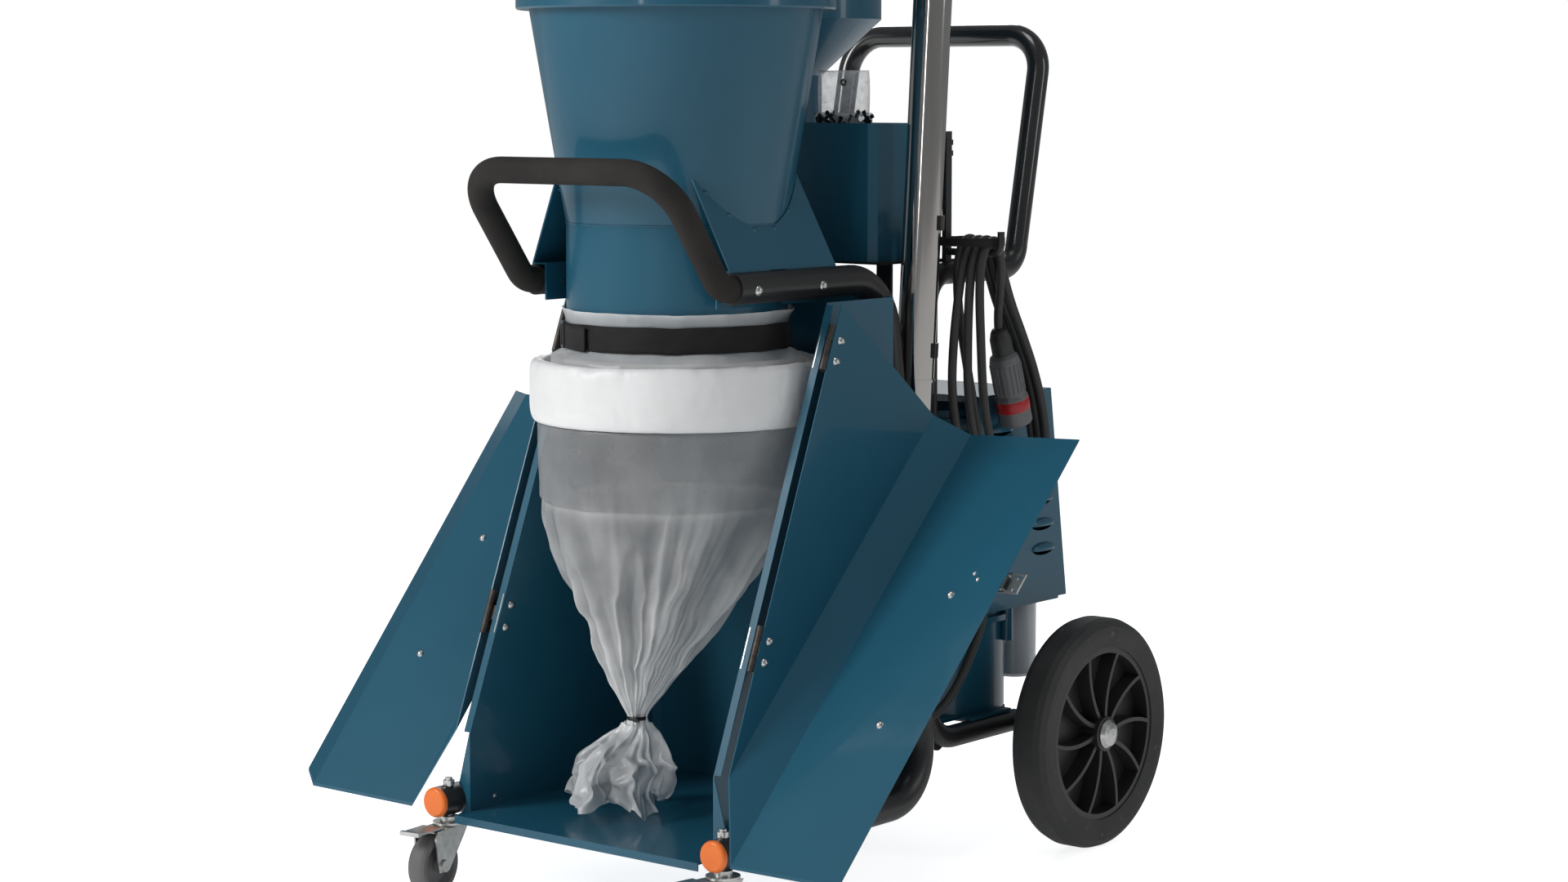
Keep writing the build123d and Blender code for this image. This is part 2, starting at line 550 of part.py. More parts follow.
# ------------------------------------------------------------ collecting bag
strap_r = neck_r + 2.2
bag_top_z = 962.0
bag_levels = [
    (bag_top_z, neck_r + 3.5, 0, 0), (strap_high_z, neck_r + 1.6, 0, 0), (strap_low_z, neck_r + 1.6, 0, 0),
    (cassette_high_z + 1, 205.0, 0, 0), (cassette_low_z - 1, 228.0, 0, 0), (660.0, 214.0, -4, -6),
    (520.0, 150.0, -20, -22), (400.0, 84.0, -34, -38), (tie_at[2] + 14, 15.0, -45, -52), (tie_at[2] - 14, 15.0, -45, -52),
]


def bag_loft(levels, inset=0.0):
    rings = [
        Plane(origin=(dx, cyclone_y + dy, z)) * Circle(r - inset) for z, r, dx, dy in levels
    ]
    return loft(rings, ruled=True)


film_t = 1.2
film = bag_loft(bag_levels[:9])
inner_levels = [(bag_top_z + 1, neck_r + 2.3, 0, 0)] + [
    (z, r, dx, dy) for z, r, dx, dy in bag_levels[1:8]
] + [(tie_at[2] + 20, 15.0, -45, -52)]
film_inside = bag_loft([(z, r - film_t, dx, dy) for z, r, dx, dy in inner_levels])
film = film - film_inside
tail = bag_loft([
    (tie_at[2] - 14, 14.0, -45, -52), (250.0, 52.0, -48, -56), (205.0, 78.0, -52, -64), (160.0, 84.0, -55, -72),
    (floor_z + 0.5, 66.0, -58, -76),
])
tie_stub = bar((tie_at[0], tie_at[1], tie_at[2] - 14), (tie_at[0], tie_at[1], tie_at[2] + 16), 14.0)
save("bag_film", max((film + tie_stub + tail).solids(), key=lambda s: s.volume))

tie = Pos(*tie_at) * (Cylinder(17, 6) - Cylinder(14.3, 8)) + Pos(tie_at[0] + 17, tie_at[1] - 5, tie_at[2]) * Box(8, 7, 8)
tie = tie - Pos(*tie_at) * Cylinder(14.3, 12)
save("bag_tie", tie)

strap = cyclone_at * turned([
    (strap_r, strap_low_z), (strap_r + 2.5, strap_low_z), (strap_r + 2.5, strap_high_z), (strap_r, strap_high_z)])
buckle_dir = Vector(-0.66, -0.75, 0)
buckle_mid = Vector(0, cyclone_y, (strap_low_z + strap_high_z) / 2) + buckle_dir.normalized() * (strap_r + 6.5)
buckle = Plane(origin=buckle_mid, z_dir=buckle_dir) * (Box(44, strap_high_z - strap_low_z - 1, 8) - Pos(0, 0, 3) * Box(24, 30, 4))
buckle -= cyclone_at * bar((0, 0, 800), (0, 0, 1000), strap_r + 2.6)
save("bag_strap", strap + buckle)

cassette_inner = 206.5
cassette = cyclone_at * turned([
    (cassette_inner, cassette_low_z), (cassette_r - 4, cassette_low_z), (cassette_r, cassette_low_z + 8),
    (cassette_r, cassette_high_z - 22), (cassette_r - 6, cassette_high_z), (cassette_inner + 6, cassette_high_z),
    (cassette_inner, cassette_high_z - 8),
])
film_cut = bag_loft([(z, r + 0.6, dx, dy) for z, r, dx, dy in bag_levels[2:7]])
save("bag_cassette", cassette - film_cut)

# ------------------------------------------------------------ accessory bin with its pouch of ties
bin_low, bin_high = (-20.0, 32.0, 1023.0), (170.0, 132.0, 1251.0)
chamfer = 12.0
bin_face = make_face(Polyline(
    (bin_low[0], bin_low[1]), (bin_high[0] - chamfer, bin_low[1]), (bin_high[0], bin_low[1] + chamfer),
    (bin_high[0], bin_high[1]), (bin_low[0], bin_high[1]), close=True))
bin_body = Pos(0, 0, bin_low[2]) * extrude(bin_face, bin_high[2] - bin_low[2])
bin_body -= Pos(0, 0, bin_low[2] + sheet) * extrude(offset(bin_face, -sheet, kind=Kind.INTERSECTION), 400)
save("accessory_bin", bin_body)

pouch = block((2, 74, bin_low[2] + sheet), (134, 90, 1262))
pouch += block((13, 79, 1262), (125, 85, 1342))
pouch -= bar((69, 70, 1320), (69, 100, 1320), 4)
save("tie_pouch", pouch)

# ------------------------------------------------------------ motor, blower, cover
blower_at = (75.0, 330.0)
blower_r, blower_low_z, blower_high_z = 128.0, 236.0, 410.0
base = block((-187, 190, 224), (187, 396, 230)) + block((-upper_x - 8, 255, 224), (upper_x + 8, 375, 230))
base_bolts = [(167.0, 203.0), (-167.0, 203.0), (-167.0, 375.0)]
for x, y in base_bolts:
    base -= bar((x, y, 200), (x, y, 240), 5.1)
save("base_plate", base)

blower = Pos(blower_at[0], blower_at[1], blower_low_z - 6) * Cylinder(
    blower_r, blower_high_z - blower_low_z + 6, align=(Align.CENTER, Align.CENTER, Align.MIN))
blower += Pos(blower_at[0], blower_at[1], blower_high_z - 22) * Cylinder(
    blower_r + 12, 10, align=(Align.CENTER, Align.CENTER, Align.MIN))
ear_angles = [20, 112, 160, 215, 270, 325]
for angle in ear_angles:
    a = math.radians(angle)
    x, y = blower_at[0] + (blower_r + 8) * math.cos(a), blower_at[1] + (blower_r + 8) * math.sin(a)
    blower += Pos(x, y, blower_high_z - 60) * Cylinder(11, 60, align=(Align.CENTER, Align.CENTER, Align.MIN))
chamber_low, chamber_high = blower_low_z + 14, blower_high_z - 8
blower -= Pos(blower_at[0], blower_at[1], chamber_low) * Cylinder(
    blower_r - 8, chamber_high - chamber_low, align=(Align.CENTER, Align.CENTER, Align.MIN))
blower -= Pos(blower_at[0], blower_at[1], chamber_high - 1) * Cylinder(14, 40, align=(Align.CENTER, Align.CENTER, Align.MIN))
cover_plate = block((-228, 254, blower_high_z), (228, 500, blower_high_z + 5))
cover_plate -= bar((blower_at[0], blower_at[1], 400), (blower_at[0], blower_at[1], 420), 14)
blower += cover_plate
port = bar((inlet_x, inlet_front_y + 0.1, inlet_z), (inlet_x, inlet_front_y + 60, inlet_z), pipe_r)
blower -= port
blower -= suction_solid
save("blower_housing", max(blower.solids(), key=lambda s: s.volume))

impeller = Cylinder(blower_r - 18, 6, align=(Align.CENTER, Align.CENTER, Align.MIN))
impeller += Pos(0, 0, 62) * Cylinder(blower_r - 18, 4, align=(Align.CENTER, Align.CENTER, Align.MIN))
impeller += Cylinder(34, 66, align=(Align.CENTER, Align.CENTER, Align.MIN))
vanes = 9
for k in range(vanes):
    impeller += Rot(0, 0, 360 / vanes * k) * Pos(70, 0, 33) * Rot(0, 0, 24) * Box(78, 4, 60)
impeller &= Pos(0, 0, 33) * Cylinder(blower_r - 18, 66)
shaft_high_z = blower_high_z + 30
impeller += Cylinder(13.9, shaft_high_z - chamber_low - 20, align=(Align.CENTER, Align.CENTER, Align.MIN))
save("impeller", Pos(blower_at[0], blower_at[1], chamber_low + 20) * impeller)

motor_r, motor_low_z, motor_high_z = 95.0, blower_high_z + 5, 742.0
motor = Cylinder(motor_r, motor_high_z - motor_low_z, align=(Align.CENTER, Align.CENTER, Align.MIN))
fins = 28
for k in range(fins):
    motor += Rot(0, 0, 360 / fins * k) * Pos(motor_r + 5, 0, 40) * Box(
        14, 3, 220, align=(Align.CENTER, Align.CENTER, Align.MIN))
motor -= Cylinder(16, 30, align=(Align.CENTER, Align.CENTER, Align.MIN))
motor += Pos(0, 0, motor_high_z - motor_low_z) * Cylinder(motor_r - 6, 14, align=(Align.CENTER, Align.CENTER, Align.MIN))
save("motor", Pos(blower_at[0], blower_at[1], motor_low_z) * motor)

cover_x, cover_front_y, cover_back_y, cover_top_back_y, cover_low_z, cover_top_z = 230.0, 251.0, 522.0, 468.0, 415.0, 787.0
cover_side = make_face(Polyline(
    (cover_front_y, cover_low_z), (cover_back_y, cover_low_z), (cover_top_back_y, cover_top_z),
    (cover_front_y, cover_top_z), close=True))
cover = extrude(Plane.YZ * cover_side, cover_x, both=True)
hollow_side = make_face(Polyline(
    (cover_front_y - 9, cover_low_z - 9), (cover_back_y - sheet + 1.3, cover_low_z - 9),
    (cover_top_back_y - sheet - 0.2, cover_top_z - sheet), (cover_front_y - 9, cover_top_z - sheet), close=True))
cover -= extrude(Plane.YZ * hollow_side, cover_x - sheet, both=True)
louvre_rows, louvre_pitch, louvre_low_z = 6, 44.0, 505.0
for column in (0, 1):
    for row in range(louvre_rows):
        y, z = 448.0 - 110 * column - 4 * row, louvre_low_z + louvre_pitch * row
        if column and row < 1:
            continue
        hood_part = Pos(cover_x, y, z) * scale(Sphere(10), by=(0.9, 3.4, 1.1))
        hood_part -= block((cover_x - 60, y - 60, z - 40), (cover_x - 0.5, y + 60, z + 40))
        hood_part -= block((cover_x - 60, y - 60, z - 40), (cover_x + 60, y + 60, z - 3))
        cavity = Pos(cover_x - 1.6, y, z - 1.6) * scale(Sphere(10), by=(0.8, 3.25, 1.0))
        cavity -= block((cover_x - 60, y - 60, z + 0.0), (cover_x - 2.5, y + 60, z + 60))
        slot = block((cover_x - 4, y - 27, z - 3.2), (cover_x + 0.5, y + 27, z + 1.5))
        cover = cover + hood_part - cavity - slot
save("motor_cover", max(cover.solids(), key=lambda s: s.volume))

switch_at = (90.0, 610.0)
back_slope = Vector(0, cover_top_back_y - cover_back_y, cover_top_z - cover_low_z).normalized()
back_normal = Vector(0, back_slope.Z, -back_slope.Y)
switch_y = cover_back_y + (switch_at[1] - cover_low_z) * back_slope.Y / back_slope.Z
switch_plane = Plane(origin=(switch_at[0], switch_y, switch_at[1]), x_dir=(-1, 0, 0), z_dir=back_normal)
knob = Pos(0, 0, 1.0) * Cylinder(21, 8, align=(Align.CENTER, Align.CENTER, Align.MIN))
knob += Pos(0, 0, 9) * Box(12, 42, 16, align=(Align.CENTER, Align.CENTER, Align.MIN))
save("main_switch", switch_plane * knob)

silencer_at, silencer_r, outlet_bore_r = (128.0, 507.0), 40.0, 30.0
silencer = Pos(*silencer_at, 0) * turned([
    (0, 262), (silencer_r - 5, 262), (silencer_r, 268), (silencer_r, 398), (silencer_r - 6, 404), (0, 404)])
silencer += bar((*silencer_at, 330), (*blower_at, 330), 20)
silencer -= Pos(*blower_at, 0) * Cylinder(blower_r, 900)
silencer -= Pos(*silencer_at, 258) * Cylinder(outlet_bore_r, 60, align=(Align.CENTER, Align.CENTER, Align.MIN))
save("silencer", max(silencer.solids(), key=lambda s: s.volume))

# ------------------------------------------------------------ rear frame with its shelf, pipe clamps
hanger_y, hanger_low_z, hanger_high_z = 187.0, 1018.0, 1237.0
hanger = block((upper_x - 4, hanger_y - 8, hanger_low_z), (upper_x + 4, hanger_y + 8, hanger_high_z))
for z in (1196, 1214):
    hanger += block((upper_x - 5.5, hanger_y - 9.5, z), (upper_x + 5.5, hanger_y + 9.5, z + 9))
hanger += bent([(upper_x, hanger_y, 1036), (318, hanger_y, 1036), (318, hanger_y, 1072)], [14], 6)
hanger -= rear_solid
save("cable_hook", max(hanger.solids(), key=lambda s: s.volume))

rear_frame += shelf - rear_frame
rear_frame -= hanger
save("rear_frame", max(rear_frame.solids(), key=lambda s: s.volume))

pipe_bracket_z = (880.0, 1090.0)
brackets = []
for z in pipe_bracket_z:
    at = pipe_low + lean * (z - 830)
    ring = Plane(origin=at, z_dir=lean) * (
        Cylinder(pipe_r + 5, 24) - Cylinder(pipe_r + 0.15, 30))
    ring -= block((at.X - 60, at.Y - 60, z - 30), (at.X + 60, at.Y + 2, z + 30))
    brace = block((at.X - 24, at.Y + pipe_r - 2, z - 10), (at.X - 16, post_y, z + 10))
    if z > 980:
        brace = block((at.X - 34, at.Y + 6, z - 12), (at.X - 26, at.Y + 46, z + 12))
        brace += block((upper_x - 2, at.Y + 38, upper_z + 10), (upper_x + 6, at.Y + 46, z + 12))
    brace -= Plane(origin=at, z_dir=lean) * Cylinder(pipe_r + 0.15, 80)
    brackets.append((ring + brace) - rear_solid - hanger - shelf)
save("pipe_brackets", *[max(bracket.solids(), key=lambda s: s.volume) for bracket in brackets])

# ------------------------------------------------------------ wheels on the axle
tyre_in_r, wheel_mid = 150.0, (wheel_in_x + wheel_out_x) / 2
half = (wheel_out_x - wheel_in_x) / 2


def wheel_solid(points):
    return Plane(origin=(wheel_mid, axle_y, axle_z), x_dir=(0, 1, 0), z_dir=(1, 0, 0)) * turned(points)


tyre = wheel_solid([
    (tyre_in_r, -half + 4), (tyre_in_r + 12, -half + 2), (tyre_in_r + 24, -half), (wheel_r - 14, -half), (wheel_r - 4, -half + 7),
    (wheel_r, -half + 18), (wheel_r, half - 18), (wheel_r - 4, half - 7), (wheel_r - 14, half), (tyre_in_r + 24, half),
    (tyre_in_r + 12, half - 2), (tyre_in_r, half - 4),
])
rim = turned([(tyre_in_r - 10, -half + 6), (tyre_in_r, -half + 6), (tyre_in_r, half - 6), (tyre_in_r - 10, half - 6)])
rim += turned([(axle_r + 0.1, -half + 2), (30, -half + 2), (30, half), (26, half + 1.5), (axle_r + 0.1, half + 1.5)])
rim += turned([(28, -6), (tyre_in_r - 8, -4), (tyre_in_r - 8, 0), (28, 0)])
spokes = 10
for k in range(spokes):
    arc_out = ThreePointArc((26, 5), (84, 14), (tyre_in_r - 7, 3.5))
    arc_in = ThreePointArc((26, -3), (84, 7), (tyre_in_r - 7, -3.5))
    face = make_face(arc_out + Line((tyre_in_r - 7, 3.5), (tyre_in_r - 7, -3.5)) + arc_in + Line((26, -3), (26, 5)))
    rim += Rot(0, 0, 360 / spokes * k) * Pos(0, 0, -half + 9) * extrude(face, 2 * half - 15)
rim -= Cylinder(axle_r + 0.1, 200)
rim = Plane(origin=(wheel_mid, axle_y, axle_z), x_dir=(0, 1, 0), z_dir=(1, 0, 0)) * rim
save("tyre_left", tyre)
save("tyre_right", mirrored(tyre))
save("rim_left", rim)
save("rim_right", mirrored(rim))

# ------------------------------------------------------------ braked swivel casters
pedal_y, pedal_z, pedal_pin_r = -52.0, 104.0, 2.5
for name, side in (("left", 1), ("right", -1)):
    x0, turn = side * caster_x, side * -caster_angle
    at = Pos(x0, caster_y, 0) * Rot(0, 0, turn)
    # the caster's own frame: the wheel trails towards -Y
    fork = Pos(0, 0, 110) * Cylinder(27, 4, align=(Align.CENTER, Align.CENTER, Align.MIN))
    fork += Pos(0, 0, 105) * Cylinder(21, 6, align=(Align.CENTER, Align.CENTER, Align.MIN))
    fork += Pos(0, 0, 114) * Cylinder(15, 8.4, align=(Align.CENTER, Align.CENTER, Align.MIN))
    fork += Pos(0, -20, 107) * Box(46, 52, 4)
    cheek = Polyline((22, 109), (-58, 109), (-66, 98), (-62, 60), (-58, 40), (-32, 40), (10, 92), close=True)
    for shift in (-23, 20):
        fork += Pos(shift, 0, 0) * extrude(Plane.YZ * make_face(cheek), 3)
    fork += bar((-24, -caster_trail, 50), (24, -caster_trail, 50), 6)
    fork += bar((-27, -caster_trail, 50), (-23, -caster_trail, 50), 10)
    fork += bar((23, -caster_trail, 50), (27, -caster_trail, 50), 10)
    fork += bar((0, 0, 118), (0, 0, 186), caster_stem_r)
    fork += bar((0, 0, lower_z + frame_r + 0.4), (0, 0, lower_z + frame_r + 9), 9.5)
    fork -= bar((-40, pedal_y, pedal_z), (40, pedal_y, pedal_z), pedal_pin_r + 0.1)
    save(f"caster_fork_{name}", at * fork)
    wheel = turned([
        (6.05, -17), (12, -17), (12, -8), (30, -6), (38, -16), (46, -16), (caster_r - 1, -11), (caster_r, -6),
        (caster_r, 6), (caster_r - 1, 11), (46, 16), (38, 16), (30, 6), (12, 8), (12, 17), (6.05, 17),
    ])
    save(f"caster_wheel_{name}", at * (Plane(origin=(0, -caster_trail, 50), x_dir=(0, 1, 0), z_dir=(1, 0, 0)) * wheel))
    pedal = bar((-22.5, pedal_y, pedal_z), (22.5, pedal_y, pedal_z), pedal_pin_r)
    pedal += Pos(0, -77, 112) * Box(38, 62, 3)
    pedal += Pos(0, -104, 112) * Box(38, 8, 7)
    for shift in (-18, 15):
        arm_face = Polyline((-47, 101.5), (-57, 101.5), (-64, 111), (-46, 111), close=True)
        pedal += Pos(shift, 0, 0) * extrude(Plane.YZ * make_face(arm_face), 3)
    save(f"caster_pedal_{name}", at * pedal)

# ------------------------------------------------------------ dome bolts of the frames
frame_bolts = []
for y in frame_bolt_y:
    bolt = dome_bolt((upper_x + frame_r - 0.6, y, upper_z - 3), (1, 0, 0), 8, 6, 3.9, 2 * frame_r + 4)
    frame_bolts += both(bolt - side_frame)
for x, y in base_bolts:
    bolt = dome_bolt((x, y, 230), (0, 0, 1), 9, 6, 5, 16)
    bolt += Pos(x, y, 212) * extrude(RegularPolygon(9, 6), 8)
    frame_bolts.append(bolt)
for y in (-430.0, -180.0):
    for side in (1, -1):
        frame_bolts.append(dome_bolt((side * (wall_x - sheet), y, 146), (-side, 0, 0), 4.2, 2.6))
save("frame_bolts", *frame_bolts)

# ------------------------------------------------------------ power cable: box, gland, lead, hank, plug
gland_at = (238.0, 30.0, 256.0)
box_body = block((130, back_y, 226), (252, 30, 290))
save("terminal_box", box_body)
gland = bar(gland_at, (gland_at[0], gland_at[1] + 9, gland_at[2]), 13)
gland += Plane(origin=(gland_at[0], gland_at[1] + 9, gland_at[2]), z_dir=(0, 1, 0)) * loft(
    [Circle(12), Pos(0, 0, 21) * Circle(9.2)])
gland -= bar(gland_at, (gland_at[0], gland_at[1] + 40, gland_at[2]), cable_r)
save("cable_gland", gland)

lead_route = [
    (238, 32, 256), (238, 80, 256), (240, 128, 263), (243, 172, 298), (243, 213, 348), (242, 248, 400), (241, 262, 458),
    (242, 252, 520), (247, 244, 588), (253, 250, 655),
]


def route_radii(route):
    """The largest bend at each corner that its two runs allow."""
    radii = []
    for a, b, c in zip(route, route[1:], route[2:]):
        before, after = Vector(*b) - Vector(*a), Vector(*c) - Vector(*b)
        half_turn = math.radians(before.get_angle(after)) / 2
        radii.append(0.45 * min(before.length, after.length) / math.tan(half_turn))
    return radii


lead_radii = route_radii(lead_route)
print("cable lead radii", [round(r) for r in lead_radii])
lead = bent(lead_route, lead_radii, cable_r)
lead_path = FilletPolyline(*lead_route, radius=lead_radii)
print("cable lead volume", lead.volume, "section x length", math.pi * cable_r**2 * lead_path.length)

hank_outline = [
    (178, 1066), (150, 1010), (118, 900), (112, 790), (150, 690), (215, 610), (291, 560), (348, 548), (392, 580),
    (396, 660), (378, 760), (330, 870), (262, 980), (208, 1066),
]
hank_in_x, hank_out_x = 241.0, 304.0
hank = Pos(hank_in_x, 0, 0) * extrude(Plane.YZ * make_face(Spline(*hank_outline, periodic=True)), hank_out_x - hank_in_x)
hank -= bent([(150, hanger_y, 1036), (318, hanger_y, 1036), (318, hanger_y, 1090)], [14], 6.4)
plug_top, plug_foot = Vector(270, 250, 905), Vector(270, 304, 742)
plug_dir = (plug_foot - plug_top).normalized()
plug_len = (plug_foot - plug_top).length
plug = Plane(origin=plug_top, z_dir=plug_dir) * turned([
    (0, 0), (11, 0), (15, 6), (17, 44), (24, 50), (26, 58), (26, 118), (29, 124), (29, plug_len - 3), (27, plug_len),
    (0, plug_len),
])
plug_pocket = Plane(origin=plug_top - plug_dir * 2, z_dir=plug_dir) * Cylinder(
    31, plug_len + 5, align=(Align.CENTER, Align.CENTER, Align.MIN))
hank -= plug_pocket
save("cable_hank", max(hank.solids(), key=lambda s: s.volume))
save("cable_plug", plug)
save("cable_lead", lead - max(hank.solids(), key=lambda s: s.volume))

tie_band = block((198, 148, 1046), (hank_out_x + 5, 240, 1062)) - block((201, 151, 1040), (hank_out_x + 2, 237, 1070))
save("cable_strap", tie_band)

for node, solids in saved.items():
    box = Compound(children=solids).bounding_box()
    print(node, len(solids), [round(v, 1) for v in (*box.min, *box.max)])
print(len(saved), "nodes")
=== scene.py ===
import bpy
import bmesh
import math
import random
from mathutils import Matrix, Vector, noise


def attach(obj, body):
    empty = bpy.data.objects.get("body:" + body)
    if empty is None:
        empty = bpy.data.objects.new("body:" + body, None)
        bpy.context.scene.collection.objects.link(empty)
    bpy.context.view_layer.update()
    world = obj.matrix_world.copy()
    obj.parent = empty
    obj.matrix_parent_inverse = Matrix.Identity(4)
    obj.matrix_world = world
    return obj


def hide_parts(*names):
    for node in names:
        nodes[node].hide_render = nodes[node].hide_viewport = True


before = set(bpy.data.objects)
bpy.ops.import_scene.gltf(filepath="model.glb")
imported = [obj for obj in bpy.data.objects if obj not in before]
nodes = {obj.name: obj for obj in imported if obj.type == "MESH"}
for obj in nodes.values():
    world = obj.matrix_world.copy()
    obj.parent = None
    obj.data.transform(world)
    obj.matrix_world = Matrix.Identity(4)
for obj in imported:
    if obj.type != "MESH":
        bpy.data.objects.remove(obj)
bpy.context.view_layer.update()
scene = bpy.context.scene
print("frame loaded:", len(nodes), "cad nodes")

# ---- camera, floor and lights
cameraSetup = {
    "place": (3.384, -4.193, 1.316),
    "turn": (90 - 6.34, 0, 38.85),
    "lens": 73.84,
    "sensor": 36.0,
}
cameraData = bpy.data.cameras.new("camera")
cameraData.lens = cameraSetup["lens"]
cameraData.sensor_width = cameraSetup["sensor"]
cameraData.clip_end = 60
camera = bpy.data.objects.new("camera", cameraData)
camera.location = cameraSetup["place"]
camera.rotation_euler = [math.radians(a) for a in cameraSetup["turn"]]
scene.collection.objects.link(camera)
scene.camera = camera
scene.view_settings.view_transform = "Standard"

studio = {
    "floorSize": 30.0,
    "floorColor": (0.93, 0.93, 0.93, 1),
    "floorGlow": 0.3,
    "floorSeen": 0.6,  # what the camera sees on top of that
    "seenColor": (1.0, 1.0, 1.0, 1),
    "fillColor": (0.2, 0.21, 0.22, 1),
    "lights": [  # name, place, aimed at, width, height, watts
        ("keyLight", (-1.9, -3.9, 2.9), (0, -0.2, 0.6), 1.3, 1.6, 112),
        ("sideLight", (4.4, 1.6, 2.6), (0.3, 0, 0.8), 0.7, 2.4, 22),
        ("stripLight", (1.3, -4.6, 2.3), (0, -0.3, 0.9), 0.22, 2.6, 16),
        ("topLight", (0.2, -0.6, 4.2), (0, -0.1, 0.6), 1.2, 1.2, 20),
        ("backLight", (-2.6, 3.2, 2.6), (0, 0.2, 0.9), 1.6, 1.6, 32),
    ],
}


def newObject(name, mesh):
    made = bpy.data.objects.new(name, mesh)
    scene.collection.objects.link(made)
    return made


def meshPiece(name, bm, body="frame", smooth=True):
    # One finished piece from a bmesh, riding on a body.
    mesh = bpy.data.meshes.new(name)
    bm.to_mesh(mesh)
    bm.free()
    for face in mesh.polygons:
        face.use_smooth = smooth
    made = newObject(name, mesh)
    if body:
        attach(made, body)
    return made


floorShape = bmesh.new()
bmesh.ops.create_grid(floorShape, x_segments=1, y_segments=1, size=studio["floorSize"] / 2)
floorPiece = meshPiece("studioFloor", floorShape, body=None)

world = bpy.data.worlds.new("studioWorld")
world.use_nodes = True
worldTree = world.node_tree
skyMix = worldTree.nodes.new("ShaderNodeMix")  # white behind the machine, darker where it is mirrored
skyMix.data_type = "RGBA"
worldTree.links.new(worldTree.nodes.new("ShaderNodeLightPath").outputs["Is Camera Ray"], skyMix.inputs["Factor"])
skyMix.inputs[6].default_value = studio["fillColor"]
skyMix.inputs[7].default_value = studio["seenColor"]
worldTree.links.new(skyMix.outputs[2], worldTree.nodes["Background"].inputs["Color"])
scene.world = world

for name, place, target, width, height, watts in studio["lights"]:
    lightData = bpy.data.lights.new(name, "AREA")
    lightData.shape = "RECTANGLE"
    lightData.size, lightData.size_y, lightData.energy = width, height, watts
    light = bpy.data.objects.new(name, lightData)
    light.location = place
    light.rotation_euler = (Vector(target) - Vector(place)).to_track_quat("-Z", "Y").to_euler()
    scene.collection.objects.link(light)
print("studio ready")


# ---- shared shader groups
def newGroup(name, inputs, outputs):
    group = bpy.data.node_groups.new(name, "ShaderNodeTree")
    for label, kind, value in inputs:
        socket = group.interface.new_socket(name=label, in_out="INPUT", socket_type=kind)
        if value is not None:
            socket.default_value = value
    for label, kind in outputs:
        group.interface.new_socket(name=label, in_out="OUTPUT", socket_type=kind)
    return group, group.nodes.new("NodeGroupInput"), group.nodes.new("NodeGroupOutput")


def mixColors(tree, factor, first, second):
    # A colour mix node fed by sockets, and its result.
    mix = tree.nodes.new("ShaderNodeMix")
    mix.data_type = "RGBA"
    tree.links.new(factor, mix.inputs["Factor"])
    tree.links.new(first, mix.inputs[6])
    tree.links.new(second, mix.inputs[7])
    return mix.outputs[2]


def maths(tree, operation, *values):
    # A math node; each value is a socket or a number.
    node = tree.nodes.new("ShaderNodeMath")
    node.operation = operation
    for place, value in enumerate(values):
        if isinstance(value, (int, float)):
            node.inputs[place].default_value = value
        else:
            tree.links.new(value, node.inputs[place])
    return node.outputs[0]


def noiseIn(tree, vector, scaleFrom, detail=3.0, roughness=0.55):
    node = tree.nodes.new("ShaderNodeTexNoise")
    node.inputs["Detail"].default_value = detail
    node.inputs["Roughness"].default_value = roughness
    tree.links.new(vector, node.inputs["Vector"])
    if isinstance(scaleFrom, (int, float)):
        node.inputs["Scale"].default_value = scaleFrom
    else:
        tree.links.new(scaleFrom, node.inputs["Scale"])
    return node.outputs["Fac"]


def ramp(tree, value, low, high):
    # 0 at low and 1 at high.
    node = tree.nodes.new("ShaderNodeMapRange")
    for label, given in (("Value", value), ("From Min", low), ("From Max", high)):
        if isinstance(given, (int, float)):
            node.inputs[label].default_value = given
        else:
            tree.links.new(given, node.inputs[label])
    return node.outputs["Result"]


def makeGrainGroup():
    # Bump for orange peel, moulded grain and cast skin.
    group, given, out = newGroup(
        "surfaceGrain",
        [("Vector", "NodeSocketVector", None), ("Scale", "NodeSocketFloat", 400.0),
         ("Strength", "NodeSocketFloat", 0.1), ("Depth", "NodeSocketFloat", 0.0002)],
        [("Normal", "NodeSocketVector"), ("Height", "NodeSocketFloat")],
    )
    fine = noiseIn(group, given.outputs["Vector"], given.outputs["Scale"], 2.0)
    bump = group.nodes.new("ShaderNodeBump")
    group.links.new(given.outputs["Strength"], bump.inputs["Strength"])
    group.links.new(given.outputs["Depth"], bump.inputs["Distance"])
    group.links.new(fine, bump.inputs["Height"])
    group.links.new(bump.outputs["Normal"], out.inputs["Normal"])
    group.links.new(fine, out.inputs["Height"])
    return group


